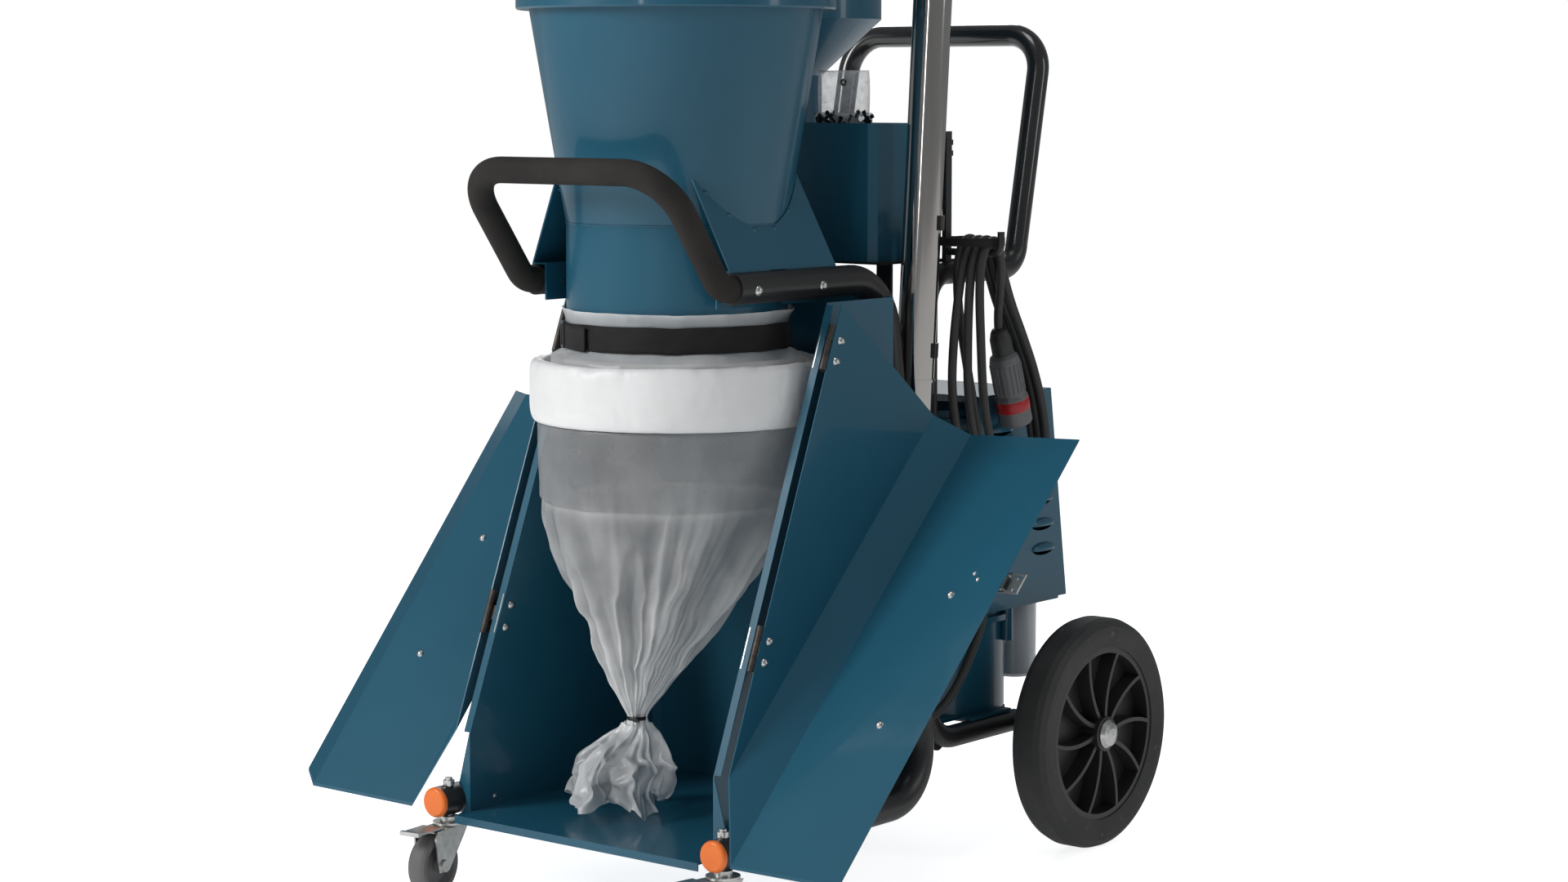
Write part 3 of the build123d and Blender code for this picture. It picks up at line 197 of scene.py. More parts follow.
def makePatinaGroup():
    # Cloudy colour change, scuffs and settled dust, with the roughness that goes with them.
    group, given, out = newGroup(
        "patina",
        [("Vector", "NodeSocketVector", None), ("Base Color", "NodeSocketColor", (0.5, 0.5, 0.5, 1)),
         ("Second Color", "NodeSocketColor", (0.4, 0.4, 0.4, 1)),
         ("Wear Color", "NodeSocketColor", (0.6, 0.6, 0.6, 1)), ("Cloud Scale", "NodeSocketFloat", 6.0),
         ("Wear Scale", "NodeSocketFloat", 60.0), ("Wear", "NodeSocketFloat", 0.1),
         ("Roughness", "NodeSocketFloat", 0.4), ("Spread", "NodeSocketFloat", 0.1)],
        [("Color", "NodeSocketColor"), ("Roughness", "NodeSocketFloat"), ("Mask", "NodeSocketFloat")],
    )
    clouds = noiseIn(group, given.outputs["Vector"], given.outputs["Cloud Scale"], 4.0)
    cloudMask = ramp(group, clouds, 0.35, 0.68)
    body = mixColors(group, cloudMask, given.outputs["Base Color"], given.outputs["Second Color"])
    scuffs = noiseIn(group, given.outputs["Vector"], given.outputs["Wear Scale"], 6.0, 0.7)
    edge = maths(group, "SUBTRACT", 0.78, maths(group, "MULTIPLY", given.outputs["Wear"], 0.3))
    mask = ramp(group, scuffs, edge, maths(group, "ADD", edge, 0.07))
    worn = mixColors(group, maths(group, "MULTIPLY", mask, 0.7), body, given.outputs["Wear Color"])
    rough = maths(group, "MULTIPLY", maths(group, "SUBTRACT", clouds, 0.5), given.outputs["Spread"])
    rough = maths(group, "ADD", rough, given.outputs["Roughness"])
    rough = maths(group, "ADD", rough, maths(group, "MULTIPLY", mask, 0.15))
    group.links.new(worn, out.inputs["Color"])
    group.links.new(rough, out.inputs["Roughness"])
    group.links.new(mask, out.inputs["Mask"])
    return group


grainGroup = makeGrainGroup()
patinaGroup = makePatinaGroup()

# what each finish looks like; grain is (scale, strength, depth in metres)
plainFinish = {
    "second": None, "wearColor": (0.3, 0.3, 0.3), "cloud": 5.0, "wearScale": 70.0, "wear": 0.05,
    "rough": 0.4, "spread": 0.1, "metal": 0.0, "coat": 0.0, "coatRough": 0.1, "grain": (500, 0.1, 0.0002),
    "stretch": (1, 1, 1), "level": 0.5,
}
finishes = {
    "bluePowderCoat": {"color": (0.0125, 0.092, 0.150), "second": (0.015, 0.105, 0.168), "wearColor": (0.05, 0.2, 0.3),
                       "rough": 0.36, "spread": 0.06, "coat": 0.35, "coatRough": 0.08, "level": 0.32,
                       "grain": (620, 0.16, 0.0003), "wear": 0.0, "cloud": 3.0},
    "satinBlackTube": {"color": (0.016, 0.016, 0.017), "second": (0.022, 0.021, 0.021), "rough": 0.36, "spread": 0.1,
                       "wearColor": (0.08, 0.08, 0.08), "grain": (900, 0.2, 0.0002), "wear": 0.12},
    "glossBlackTube": {"color": (0.012, 0.012, 0.013), "second": (0.02, 0.02, 0.02), "rough": 0.24, "spread": 0.08,
                       "coat": 0.6, "coatRough": 0.06, "grain": (500, 0.1, 0.0002), "wear": 0.05},
    "handleFoam": {"color": (0.024, 0.022, 0.021), "second": (0.036, 0.032, 0.029), "wearColor": (0.1, 0.09, 0.08),
                   "rough": 0.8, "spread": 0.12, "grain": (1100, 0.55, 0.0006), "wear": 0.1, "cloud": 14,
                   "level": 0.2},
    "capPlastic": {"color": (0.95, 0.21, 0.03), "second": (0.85, 0.17, 0.02), "rough": 0.35, "wear": 0.08,
                   "wearColor": (0.6, 0.2, 0.08), "grain": (700, 0.1, 0.0002)},
    "chromedPipe": {"color": (0.62, 0.59, 0.56), "second": (0.50, 0.47, 0.44), "rough": 0.1, "spread": 0.05,
                    "metal": 1.0, "grain": (240, 0.05, 0.0001), "wear": 0.04, "wearColor": (0.5, 0.45, 0.4),
                    "stretch": (1, 1, 0.06), "cloud": 18},
    "zincPlate": {"color": (0.66, 0.66, 0.63), "second": (0.5, 0.5, 0.49), "rough": 0.3, "metal": 1.0,
                  "grain": (800, 0.2, 0.0003), "wear": 0.25, "wearColor": (0.38, 0.37, 0.35), "cloud": 60},
    "hingeSteel": {"color": (0.10, 0.085, 0.075), "second": (0.055, 0.05, 0.045), "rough": 0.5, "metal": 0.7,
                   "grain": (700, 0.25, 0.0003), "wear": 0.3, "wearColor": (0.25, 0.22, 0.2), "cloud": 40},
    "blackRubber": {"color": (0.022, 0.022, 0.023), "second": (0.035, 0.034, 0.033), "rough": 0.55, "wear": 0.15,
                    "wearColor": (0.09, 0.088, 0.085), "grain": (900, 0.3, 0.0003)},
    "tyreRubber": {"color": (0.03, 0.03, 0.031), "second": (0.055, 0.053, 0.052), "rough": 0.72, "spread": 0.2,
                   "wearColor": (0.16, 0.155, 0.15), "wear": 0.45, "wearScale": 34, "grain": (420, 0.45, 0.0006), "cloud": 9},
    "rimPlastic": {"color": (0.021, 0.021, 0.022), "second": (0.034, 0.033, 0.033), "rough": 0.42, "wear": 0.15,
                   "wearColor": (0.1, 0.1, 0.1), "grain": (650, 0.3, 0.0003)},
    "casterRubber": {"color": (0.115, 0.115, 0.118), "second": (0.16, 0.157, 0.155), "rough": 0.62, "wear": 0.3,
                     "wearColor": (0.3, 0.29, 0.28), "wearScale": 50, "grain": (500, 0.3, 0.0004)},
    "castAluminium": {"color": (0.42, 0.42, 0.42), "second": (0.32, 0.32, 0.33), "rough": 0.48, "metal": 0.9,
                      "grain": (420, 0.45, 0.0005), "wear": 0.2, "wearColor": (0.55, 0.55, 0.54)},
    "greyPlastic": {"color": (0.12, 0.122, 0.124), "second": (0.16, 0.16, 0.158), "rough": 0.45, "wear": 0.15,
                    "wearColor": (0.38, 0.37, 0.36), "grain": (800, 0.25, 0.0003)},
    "silencerPaint": {"color": (0.66, 0.69, 0.72), "second": (0.58, 0.61, 0.65), "rough": 0.3, "coat": 0.3,
                      "grain": (500, 0.12, 0.0002), "wear": 0.12, "wearColor": (0.4, 0.41, 0.42)},
    "filterPaper": {"color": (0.72, 0.69, 0.6), "second": (0.62, 0.59, 0.5), "rough": 0.9, "wear": 0.2,
                    "wearColor": (0.4, 0.36, 0.3), "grain": (900, 0.5, 0.0006)},
    "redPlastic": {"color": (0.42, 0.012, 0.012), "second": (0.33, 0.01, 0.012), "rough": 0.4, "wear": 0.12,
                   "wearColor": (0.5, 0.15, 0.12), "grain": (700, 0.15, 0.0002)},
    "nylonTie": {"color": (0.011, 0.011, 0.012), "second": (0.02, 0.02, 0.02), "rough": 0.35, "wear": 0.0,
                 "grain": (900, 0.1, 0.0002)},
}


def buildFinish(name, values):
    # A painted, plastic, rubber or metal finish from the two shared groups.
    look = {**plainFinish, **values}
    material = bpy.data.materials.new(name)
    material.use_nodes = True
    tree = material.node_tree
    shader = tree.nodes["Principled BSDF"]
    place = tree.nodes.new("ShaderNodeTexCoord").outputs["Object"]
    mapping = tree.nodes.new("ShaderNodeMapping")
    mapping.inputs["Scale"].default_value = look["stretch"]
    tree.links.new(place, mapping.inputs["Vector"])
    patina = tree.nodes.new("ShaderNodeGroup")
    patina.node_tree = patinaGroup
    tree.links.new(mapping.outputs["Vector"], patina.inputs["Vector"])
    patina.inputs["Base Color"].default_value = (*look["color"], 1)
    patina.inputs["Second Color"].default_value = (*(look["second"] or look["color"]), 1)
    patina.inputs["Wear Color"].default_value = (*look["wearColor"], 1)
    for label, key in (("Cloud Scale", "cloud"), ("Wear Scale", "wearScale"), ("Wear", "wear"),
                       ("Roughness", "rough"), ("Spread", "spread")):
        patina.inputs[label].default_value = look[key]
    grain = tree.nodes.new("ShaderNodeGroup")
    grain.node_tree = grainGroup
    tree.links.new(mapping.outputs["Vector"], grain.inputs["Vector"])
    for label, value in zip(("Scale", "Strength", "Depth"), look["grain"]):
        grain.inputs[label].default_value = value
    tree.links.new(patina.outputs["Color"], shader.inputs["Base Color"])
    tree.links.new(patina.outputs["Roughness"], shader.inputs["Roughness"])
    tree.links.new(grain.outputs["Normal"], shader.inputs["Normal"])
    shader.inputs["Metallic"].default_value = look["metal"]
    shader.inputs["Coat Weight"].default_value = look["coat"]
    shader.inputs["Coat Roughness"].default_value = look["coatRough"]
    shader.inputs["Specular IOR Level"].default_value = look["level"]
    return material


finishOf = {name: buildFinish(name, values) for name, values in finishes.items()}

floorMaterial = buildFinish("studioPaper", {"color": studio["floorColor"][:3], "rough": 0.9, "wear": 0.0})
floorShader = floorMaterial.node_tree.nodes["Principled BSDF"]
floorShader.inputs["Emission Color"].default_value = studio["floorColor"]
floorTree = floorMaterial.node_tree
floorSight = floorTree.nodes.new("ShaderNodeLightPath").outputs["Is Camera Ray"]
floorLift = maths(floorTree, "MULTIPLY", floorSight, studio["floorSeen"])
floorTree.links.new(maths(floorTree, "ADD", floorLift, studio["floorGlow"]), floorShader.inputs["Emission Strength"])
floorPiece.data.materials.append(floorMaterial)

finishForNode = {
    "bluePowderCoat": ["cyclone_cone", "cyclone_barrel", "cyclone_lid", "filter_vessel", "filter_lid", "crossover_duct",
                       "support_gussets", "bag_housing", "housing_floor", "door_left", "door_right", "accessory_bin",
                       "base_plate", "blower_housing", "motor_cover", "motor", "clamp_rings"],
    "satinBlackTube": ["side_frame_left", "side_frame_right", "front_handle", "rear_frame", "cross_members",
                       "cable_hook"],
    "glossBlackTube": ["rear_handle"],
    "handleFoam": ["front_grip"],
    "capPlastic": ["tube_caps"],
    "chromedPipe": ["suction_pipe"],
    "zincPlate": ["axle", "frame_bolts", "latch_lever", "latch_hook", "caster_fork_left",
                  "caster_fork_right", "caster_pedal_left", "caster_pedal_right", "pipe_brackets",
                  "door_left_hardware", "door_right_hardware", "hinge_fixed_leaves"],
    "tyreRubber": ["tyre_left", "tyre_right"],
    "rimPlastic": ["rim_left", "rim_right", "terminal_box", "main_switch", "cable_gland"],
    "casterRubber": ["caster_wheel_left", "caster_wheel_right"],
    "castAluminium": ["impeller"],
    "silencerPaint": ["silencer"],
    "filterPaper": ["filter_cartridge"],
    "greyPlastic": ["cable_plug"],
}
for finish, names in finishForNode.items():
    for name in names:
        nodes[name].data.materials.clear()
        nodes[name].data.materials.append(finishOf[finish])


def paintWhere(name, finish, test):
    # Gives the faces of a CAD node whose middle passes a test another finish.
    mesh = nodes[name].data
    mesh.materials.append(finishOf[finish])
    last = len(mesh.materials) - 1
    for face in mesh.polygons:
        if test(face):
            face.material_index = last


# the brackets are black bands, and the knuckles and leaves of the hinges are dark steel
paintWhere("pipe_brackets", "satinBlackTube", lambda face: True)
hingeX = 0.285
paintWhere("hinge_fixed_leaves", "hingeSteel", lambda face: abs(face.center.x) > 0.266)
doorBand = {"inner": 0.2795, "outer": 0.2925}
for side in ("left", "right"):
    paintWhere(
        f"door_{side}_hardware", "hingeSteel",
        lambda face: doorBand["inner"] < abs(face.center.x) < doorBand["outer"] and face.center.z > 0.3,
    )
print("finishes on cad nodes")

# ---- power cable: lead, hank, plug
cableSetup = {
    "diameter": 0.015,
    "lead": [
        (238, 32, 256), (238, 80, 256), (240, 128, 263), (243, 172, 298), (243, 213, 348), (242, 248, 400),
        (241, 262, 458), (242, 252, 520), (247, 244, 588), (249, 236, 655), (249, 222, 730), (249, 199, 810),
        (249, 176, 890), (249, 160, 960), (249, 160, 1015), (249, 170, 1048),
    ],
    "loop": [  # y, z of one turn from its top, and how much the narrow turns draw it in
        (193, 1063, 0, 0), (222, 1047, 0, 0), (243, 1005, -1, 0), (268, 950, -2, 0), (303, 893, -2, 0),
        (338, 828, -1, 0), (366, 750, 0, 0), (384, 668, -8, 6), (378, 602, -12, 22), (343, 566, -10, 34),
        (290, 580, 0, 32), (222, 626, 16, 26), (158, 704, 34, 12), (128, 795, 40, 0), (131, 890, 30, 0),
        (145, 975, 12, 0), (160, 1032, 2, 0),
    ],
    "turns": 3,
    "drawIn": [0.0, 0.62, 1.15],
    "firstX": 249.0,
    "pitch": 15.8,
    "tail": [(297, 196, 1063), (293, 220, 1040), (287, 232, 1000), (278, 243, 962), (271, 246, 930), (270, 250, 906)],
}


def cablePoints(setup):
    points = [Vector(p) for p in setup["lead"]]
    count = len(setup["loop"])
    for turn in range(setup["turns"]):
        draw = setup["drawIn"][turn]
        for place, (y, z, inY, inZ) in enumerate(setup["loop"]):
            x = setup["firstX"] + setup["pitch"] * (turn + place / count)
            points.append(Vector((x, y + inY * draw, z + inZ * draw)))
    points += [Vector(p) for p in setup["tail"]]
    return [p / 1000 for p in points]


def nurbsCable(name, points, radius):
    curve = bpy.data.curves.new(name, "CURVE")
    curve.dimensions = "3D"
    spline = curve.splines.new("NURBS")
    spline.points.add(len(points) - 1)
    for point, place in zip(spline.points, points):
        point.co = (*place, 1)
    spline.order_u = 3
    spline.use_endpoint_u = True
    curve.bevel_depth = radius
    curve.bevel_resolution = 6
    curve.resolution_u = 8
    curve.use_fill_caps = True
    return newObject(name, curve)


def curveLength(obj):
    plain = obj.copy()
    plain.data = obj.data.copy()
    plain.data.bevel_depth = 0
    plain.data.use_fill_caps = False
    scene.collection.objects.link(plain)
    line = bpy.data.meshes.new_from_object(plain.evaluated_get(bpy.context.evaluated_depsgraph_get()))
    total = sum((line.vertices[e.vertices[0]].co - line.vertices[e.vertices[1]].co).length for e in line.edges)
    bpy.data.objects.remove(plain)
    return total


cable = nurbsCable("powerCable", cablePoints(cableSetup), cableSetup["diameter"] / 2)
cable.data.materials.append(finishOf["blackRubber"])
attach(cable, "frame")
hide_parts("cable_lead", "cable_hank")
cableMetres = curveLength(cable)
print("cable length", round(cableMetres, 3))

plugSetup = {
    "top": (0.270, 0.250, 0.905),
    "foot": (0.270, 0.304, 0.742),
    "collar": [(0.0115, 0.000), (0.0150, 0.006), (0.0185, 0.018), (0.0185, 0.046), (0.0170, 0.052)],
    "redRing": (0.1245, 0.0296, 0.024),
    "ribs": 20,
}
plugTop = Vector(plugSetup["top"])
plugAxis = (Vector(plugSetup["foot"]) - plugTop).normalized()
plugFrame = Matrix.Translation(plugTop) @ plugAxis.to_track_quat("Z", "Y").to_matrix().to_4x4()


def spunPiece(name, profile, place, body="frame", steps=48, finish="zincPlate"):
    # a closed turned piece; its profile of (radius, height) runs from the axis back to the axis
    bm = bmesh.new()
    verts = [bm.verts.new((r, 0, z)) for r, z in profile]
    edges = [bm.edges.new(pair) for pair in zip(verts, verts[1:])]
    bmesh.ops.spin(bm, geom=verts + edges, cent=(0, 0, 0), axis=(0, 0, 1), angle=2 * math.pi,
                   steps=steps, use_merge=True)
    bmesh.ops.remove_doubles(bm, verts=list(bm.verts), dist=1e-6)
    bmesh.ops.recalc_face_normals(bm, faces=list(bm.faces))
    bmesh.ops.transform(bm, matrix=place, verts=list(bm.verts))
    piece = meshPiece(name, bm, body)
    piece.data.materials.append(finishOf[finish])
    return piece


collarProfile = [(0.0, -0.0005)] + plugSetup["collar"] + [(0.0, 0.052)]
plugCollar = spunPiece("plugCollar", collarProfile, plugFrame, finish="blackRubber")
low, radius, height = plugSetup["redRing"]
ringProfile = [(0.0, low), (radius - 0.002, low), (radius, low + 0.003), (radius, low + height - 0.003),
               (radius - 0.002, low + height), (0.0, low + height)]
plugRing = spunPiece("plugRing", ringProfile, plugFrame, finish="redPlastic")
ribShape = bmesh.new()
for k in range(plugSetup["ribs"]):
    turn = Matrix.Rotation(2 * math.pi * k / plugSetup["ribs"], 4, "Z")
    shift = Matrix.Translation((0.0262, 0, 0.088))
    shape = Matrix.Diagonal((0.0022, 0.0034, 0.052, 1))
    made = bmesh.ops.create_cube(ribShape, size=1.0, matrix=plugFrame @ turn @ shift @ shape)
bmesh.ops.bevel(ribShape, geom=list(ribShape.edges), offset=0.0005, affect="EDGES", segments=1, profile=0.5, material=-1)
plugRibs = meshPiece("plugRibs", ribShape, smooth=False)
plugRibs.data.materials.append(finishOf["greyPlastic"])
print("cable and plug")

# ---- cloth, film and webbing materials
def addGroupNode(tree, group, vector, **values):
    node = tree.nodes.new("ShaderNodeGroup")
    node.node_tree = group
    tree.links.new(vector, node.inputs["Vector"])
    for label, value in values.items():
        node.inputs[label.replace("_", " ")].default_value = value
    return node


def attributeFactor(tree, name):
    node = tree.nodes.new("ShaderNodeAttribute")
    node.attribute_name = name
    return node.outputs["Fac"]


def buildFilm(name, thin, thick, alphaThin, alphaThick, rough=0.3, wrinkle=(26, 0.5, 0.003)):
    # Clear film that turns whiter and less clear where the attribute on its points is high: real haze where the film
    # gathers, and a painted highlight on its fold crests.
    material = bpy.data.materials.new(name)
    material.use_nodes = True
    tree = material.node_tree
    shader = tree.nodes["Principled BSDF"]
    place = tree.nodes.new("ShaderNodeTexCoord").outputs["Object"]
    hazeAndHighlight = attributeFactor(tree, "hazeAndHighlight")
    cloud = noiseIn(tree, place, 9.0, 5.0)
    mixed = maths(tree, "ADD", hazeAndHighlight, maths(tree, "MULTIPLY", maths(tree, "SUBTRACT", cloud, 0.5), 0.5))
    clamp = ramp(tree, mixed, 0.0, 1.0)
    first = tree.nodes.new("ShaderNodeRGB")
    first.outputs[0].default_value = (*thin, 1)
    second = tree.nodes.new("ShaderNodeRGB")
    second.outputs[0].default_value = (*thick, 1)
    tree.links.new(mixColors(tree, clamp, first.outputs[0], second.outputs[0]), shader.inputs["Base Color"])
    alpha = maths(tree, "ADD", maths(tree, "MULTIPLY", clamp, alphaThick - alphaThin), alphaThin)
    tree.links.new(alpha, shader.inputs["Alpha"])
    shader.inputs["Roughness"].default_value = rough
    grain = addGroupNode(tree, grainGroup, place, Scale=wrinkle[0], Strength=wrinkle[1], Depth=wrinkle[2])
    tree.links.new(grain.outputs["Normal"], shader.inputs["Normal"])
    return material


filmMaterial = buildFilm("bagFilm", (0.42, 0.425, 0.43), (0.97, 0.97, 0.96), 0.34, 0.76)
tailMaterial = buildFilm("tailFilm", (0.80, 0.81, 0.82), (0.97, 0.97, 0.97), 0.2, 0.72, 0.2)
pouchMaterial = buildFilm("pouchFilm", (0.85, 0.86, 0.87), (0.95, 0.95, 0.95), 0.16, 0.62, 0.12)


def buildWebbing(name):
    # Black woven webbing, ribbed across its width.
    material = bpy.data.materials.new(name)
    material.use_nodes = True
    tree = material.node_tree
    shader = tree.nodes["Principled BSDF"]
    place = tree.nodes.new("ShaderNodeTexCoord").outputs["Object"]
    patina = addGroupNode(tree, patinaGroup, place, Base_Color=(0.012, 0.011, 0.011, 1), Second_Color=(0.02, 0.018, 0.017, 1),
                          Wear_Color=(0.05, 0.048, 0.045, 1), Cloud_Scale=30.0, Wear_Scale=220.0, Wear=0.3,
                          Roughness=0.72, Spread=0.15)
    ribs = tree.nodes.new("ShaderNodeTexWave")
    ribs.bands_direction = "Z"
    ribs.inputs["Scale"].default_value = 180.0
    ribs.inputs["Distortion"].default_value = 1.2
    tree.links.new(place, ribs.inputs["Vector"])
    bump = tree.nodes.new("ShaderNodeBump")
    bump.inputs["Strength"].default_value = 0.5
    bump.inputs["Distance"].default_value = 0.0006
    tree.links.new(ribs.outputs["Fac"], bump.inputs["Height"])
    tree.links.new(bump.outputs["Normal"], shader.inputs["Normal"])
    tree.links.new(patina.outputs["Color"], shader.inputs["Base Color"])
    tree.links.new(patina.outputs["Roughness"], shader.inputs["Roughness"])
    shader.inputs["Sheen Weight"].default_value = 0.06
    shader.inputs["Specular IOR Level"].default_value = 0.25
    return material


webbingMaterial = buildWebbing("strapWebbing")


def buildCassetteFilm():
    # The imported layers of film: white, soft and a little translucent, with fine horizontal lines.
    material = bpy.data.materials.new("cassetteFilm")
    material.use_nodes = True
    tree = material.node_tree
    shader = tree.nodes["Principled BSDF"]
    place = tree.nodes.new("ShaderNodeTexCoord").outputs["Object"]
    patina = addGroupNode(tree, patinaGroup, place, Base_Color=(0.88, 0.88, 0.875, 1), Second_Color=(0.8, 0.8, 0.795, 1),
                          Wear_Color=(0.7, 0.7, 0.7, 1), Cloud_Scale=7.0, Wear_Scale=25.0, Wear=0.0,
                          Roughness=0.42, Spread=0.2)
    layers = tree.nodes.new("ShaderNodeMapping")
    layers.inputs["Scale"].default_value = (3, 3, 240)
    tree.links.new(place, layers.inputs["Vector"])
    lines = noiseIn(tree, layers.outputs["Vector"], 1.0, 4.0)
    soft = noiseIn(tree, place, 22.0, 3.0)
    height = maths(tree, "ADD", maths(tree, "MULTIPLY", lines, 0.35), soft)
    bump = tree.nodes.new("ShaderNodeBump")
    bump.inputs["Strength"].default_value = 0.35
    bump.inputs["Distance"].default_value = 0.003
    tree.links.new(height, bump.inputs["Height"])
    tree.links.new(bump.outputs["Normal"], shader.inputs["Normal"])
    tree.links.new(patina.outputs["Color"], shader.inputs["Base Color"])
    tree.links.new(patina.outputs["Roughness"], shader.inputs["Roughness"])
    shader.inputs["Subsurface Weight"].default_value = 0.25
    shader.inputs["Subsurface Radius"].default_value = (0.01, 0.01, 0.01)
    return material


cassetteMaterial = buildCassetteFilm()

# ---- collecting bag: film tube, tie, tail, cassette and strap
cycloneY = -0.266
bagSetup = {
    "columns": 360,
    "folds": (4, 9, 19),  # how many wide, middling and fine folds there are round it
    "tailFolds": (4, 7, 13),
    "tieZ": 0.288,
    "levels": [  # z, radius, shift in x and y, fold depth as a share of the radius, haze
        (0.9580, 0.1875, 0, 0, 0.034, 0.75), (0.9540, 0.1860, 0, 0, 0.03, 0.65), (0.9480, 0.1832, 0, 0, 0.018, 0.5),
        (0.9400, 0.1803, 0, 0, 0.0, 0.4), (0.9300, 0.1800, 0, 0, 0.0, 0.4), (0.9000, 0.1800, 0, 0, 0.0, 0.4),
        (0.8935, 0.1822, 0, 0, 0.012, 0.55), (0.8860, 0.1945, 0, 0, 0.03, 0.65), (0.8785, 0.2045, 0, 0, 0.014, 0.6),
        (0.8600, 0.2062, 0, 0, 0.0, 0.5), (0.8200, 0.2115, 0, 0, 0.0, 0.4), (0.7900, 0.2170, 0, 0, 0.0, 0.3),
        (0.7740, 0.2262, 0, 0, 0.002, 0.18), (0.7600, 0.2268, 0, 0, 0.003, 0.12), (0.7300, 0.2252, -1, -1, 0.006, 0.1),
        (0.7000, 0.2215, -2, -3, 0.012, 0.12), (0.6700, 0.2160, -3, -5, 0.02, 0.16), (0.6520, 0.2120, -4, -6, 0.03, 0.22),
        (0.6460, 0.2080, -4, -7, 0.03, 0.42), (0.6300, 0.2040, -6, -8, 0.04, 0.26), (0.6000, 0.1890, -9, -12, 0.085, 0.22),
        (0.5600, 0.1680, -14, -17, 0.12, 0.24), (0.5200, 0.1470, -19, -22, 0.16, 0.28), (0.4800, 0.1250, -25, -29, 0.19, 0.34),
        (0.4400, 0.1020, -30, -34, 0.18, 0.42), (0.4000, 0.0790, -35, -39, 0.22, 0.5), (0.3700, 0.0610, -38, -43, 0.25, 0.56),
        (0.3400, 0.0430, -42, -47, 0.28, 0.64), (0.3150, 0.0270, -44, -50, 0.28, 0.75), (0.2980, 0.0170, -45, -52, 0.2, 0.85),
        (0.2880, 0.0142, -45, -52, 0.12, 0.9), (0.2780, 0.0160, -45, -52, 0.2, 0.9),
    ],
    "tail": [
        (0.2700, 0.0220, -46, -53, 0.24, 0.7), (0.2600, 0.0330, -47, -55, 0.3, 0.55), (0.2460, 0.0450, -49, -57, 0.36, 0.4),
        (0.2300, 0.0560, -52, -60, 0.4, 0.3), (0.2120, 0.0660, -55, -64, 0.42, 0.28), (0.1930, 0.0740, -58, -70, 0.42, 0.3),
        (0.1770, 0.0790, -60, -74, 0.4, 0.32), (0.1640, 0.0820, -61, -78, 0.36, 0.36), (0.1560, 0.0840, -62, -80, 0.3, 0.45),
    ],
    "subdivide": 4,
}


def smoothLevels(levels, steps):
    # More levels between the given ones, on a smooth curve through them.
    result = []
    for k in range(len(levels) - 1):
        before, a, b, after = levels[max(k - 1, 0)], levels[k], levels[k + 1], levels[min(k + 2, len(levels) - 1)]
        for step in range(steps):
            t = step / steps
            result.append([
                0.5 * (2 * p1 + (p2 - p0) * t + (2 * p0 - 5 * p1 + 4 * p2 - p3) * t * t + (3 * p1 - p0 - 3 * p2 + p3) * t ** 3)
                for p0, p1, p2, p3 in zip(before, a, b, after)
            ])
    return result + [list(levels[-1])]


def foldShape(angle, z, folds):
    # Sharp crests and round hollows round the film, from -1 to 1, that wander a little with height.
    total = 0.0
    for place, (count, share) in enumerate(zip(folds, (0.62, 0.27, 0.11))):
        around = Vector((math.cos(angle), math.sin(angle), 0)) * count / math.pi
        wander = noise.noise(around + Vector((place * 5.3, 1.7, z * (1.4 + place))))
        total += share * (1 - 4.6 * abs(wander))
    return max(-1.0, total)


def rolledFilm(levels, columns, folds, flutter, crumple, tieZ):
    # A flat grid rolled into a tube and drawn in level by level; the haze of each level, with a painted highlight added
    # on the fold crests, is kept on its points.
    bm = bmesh.new()
    hazeAndHighlight = bm.verts.layers.float.new("hazeAndHighlight")
    rows = len(levels)
    bmesh.ops.create_grid(bm, x_segments=columns, y_segments=rows - 1, size=1.0)
    for v in bm.verts:
        angle = math.pi * v.co.x
        z, radius, dx, dy, depth, cloud = levels[round((1 - v.co.y) / 2 * (rows - 1))]
        fold = foldShape(angle, z, folds)
        drift = noise.noise(Vector((math.cos(angle) * 2.5, math.sin(angle) * 2.5, z * 9.0)))
        r = radius * (1 + depth * fold) + flutter * drift * min(1.0, depth * 12)
        lift = 0.35 * flutter * drift
        # each level's haze, plus a painted highlight on the fold crests, where the film is made whiter and less clear
        v[hazeAndHighlight] = min(1.0, max(0.0, cloud + 0.55 * max(0.0, fold) * min(1.0, depth * 5)))
        v.co = Vector((dx / 1000 + r * math.cos(angle), cycloneY + dy / 1000 + r * math.sin(angle), z + lift))
        loose = crumple * min(1.0, abs(z - tieZ) / 0.05) * min(1.0, depth * 6)
        v.co += loose * (noise.noise_vector(v.co * 17) + 0.5 * noise.noise_vector(v.co * 41))
    bmesh.ops.remove_doubles(bm, verts=list(bm.verts), dist=1e-5)
    return bm


bagLevels = smoothLevels(bagSetup["levels"], bagSetup["subdivide"])
filmShape = rolledFilm(bagLevels, bagSetup["columns"], bagSetup["folds"], 0.004, 0.006, bagSetup["tieZ"])
film = meshPiece("bagFilm", filmShape)
film.data.materials.append(filmMaterial)
tailLevels = smoothLevels([bagSetup["levels"][-1]] + bagSetup["tail"], bagSetup["subdivide"])
tailShape = rolledFilm(tailLevels, bagSetup["columns"], bagSetup["tailFolds"], 0.012, 0.021, bagSetup["tieZ"])
tail = meshPiece("bagTail", tailShape)
tail.data.materials.append(tailMaterial)
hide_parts("bag_film")


def meshArea(obj):
    return sum(face.area for face in obj.data.polygons)


print("film area", round(meshArea(film), 3), "tail area", round(meshArea(tail), 3))

# the tie: a closed nylon band with its lock and tail
tieSetup = {"at": (-0.045, -0.318, 0.288), "band": [(0.0143, -0.003), (0.0168, -0.003), (0.0168, 0.003), (0.0143, 0.003)]}


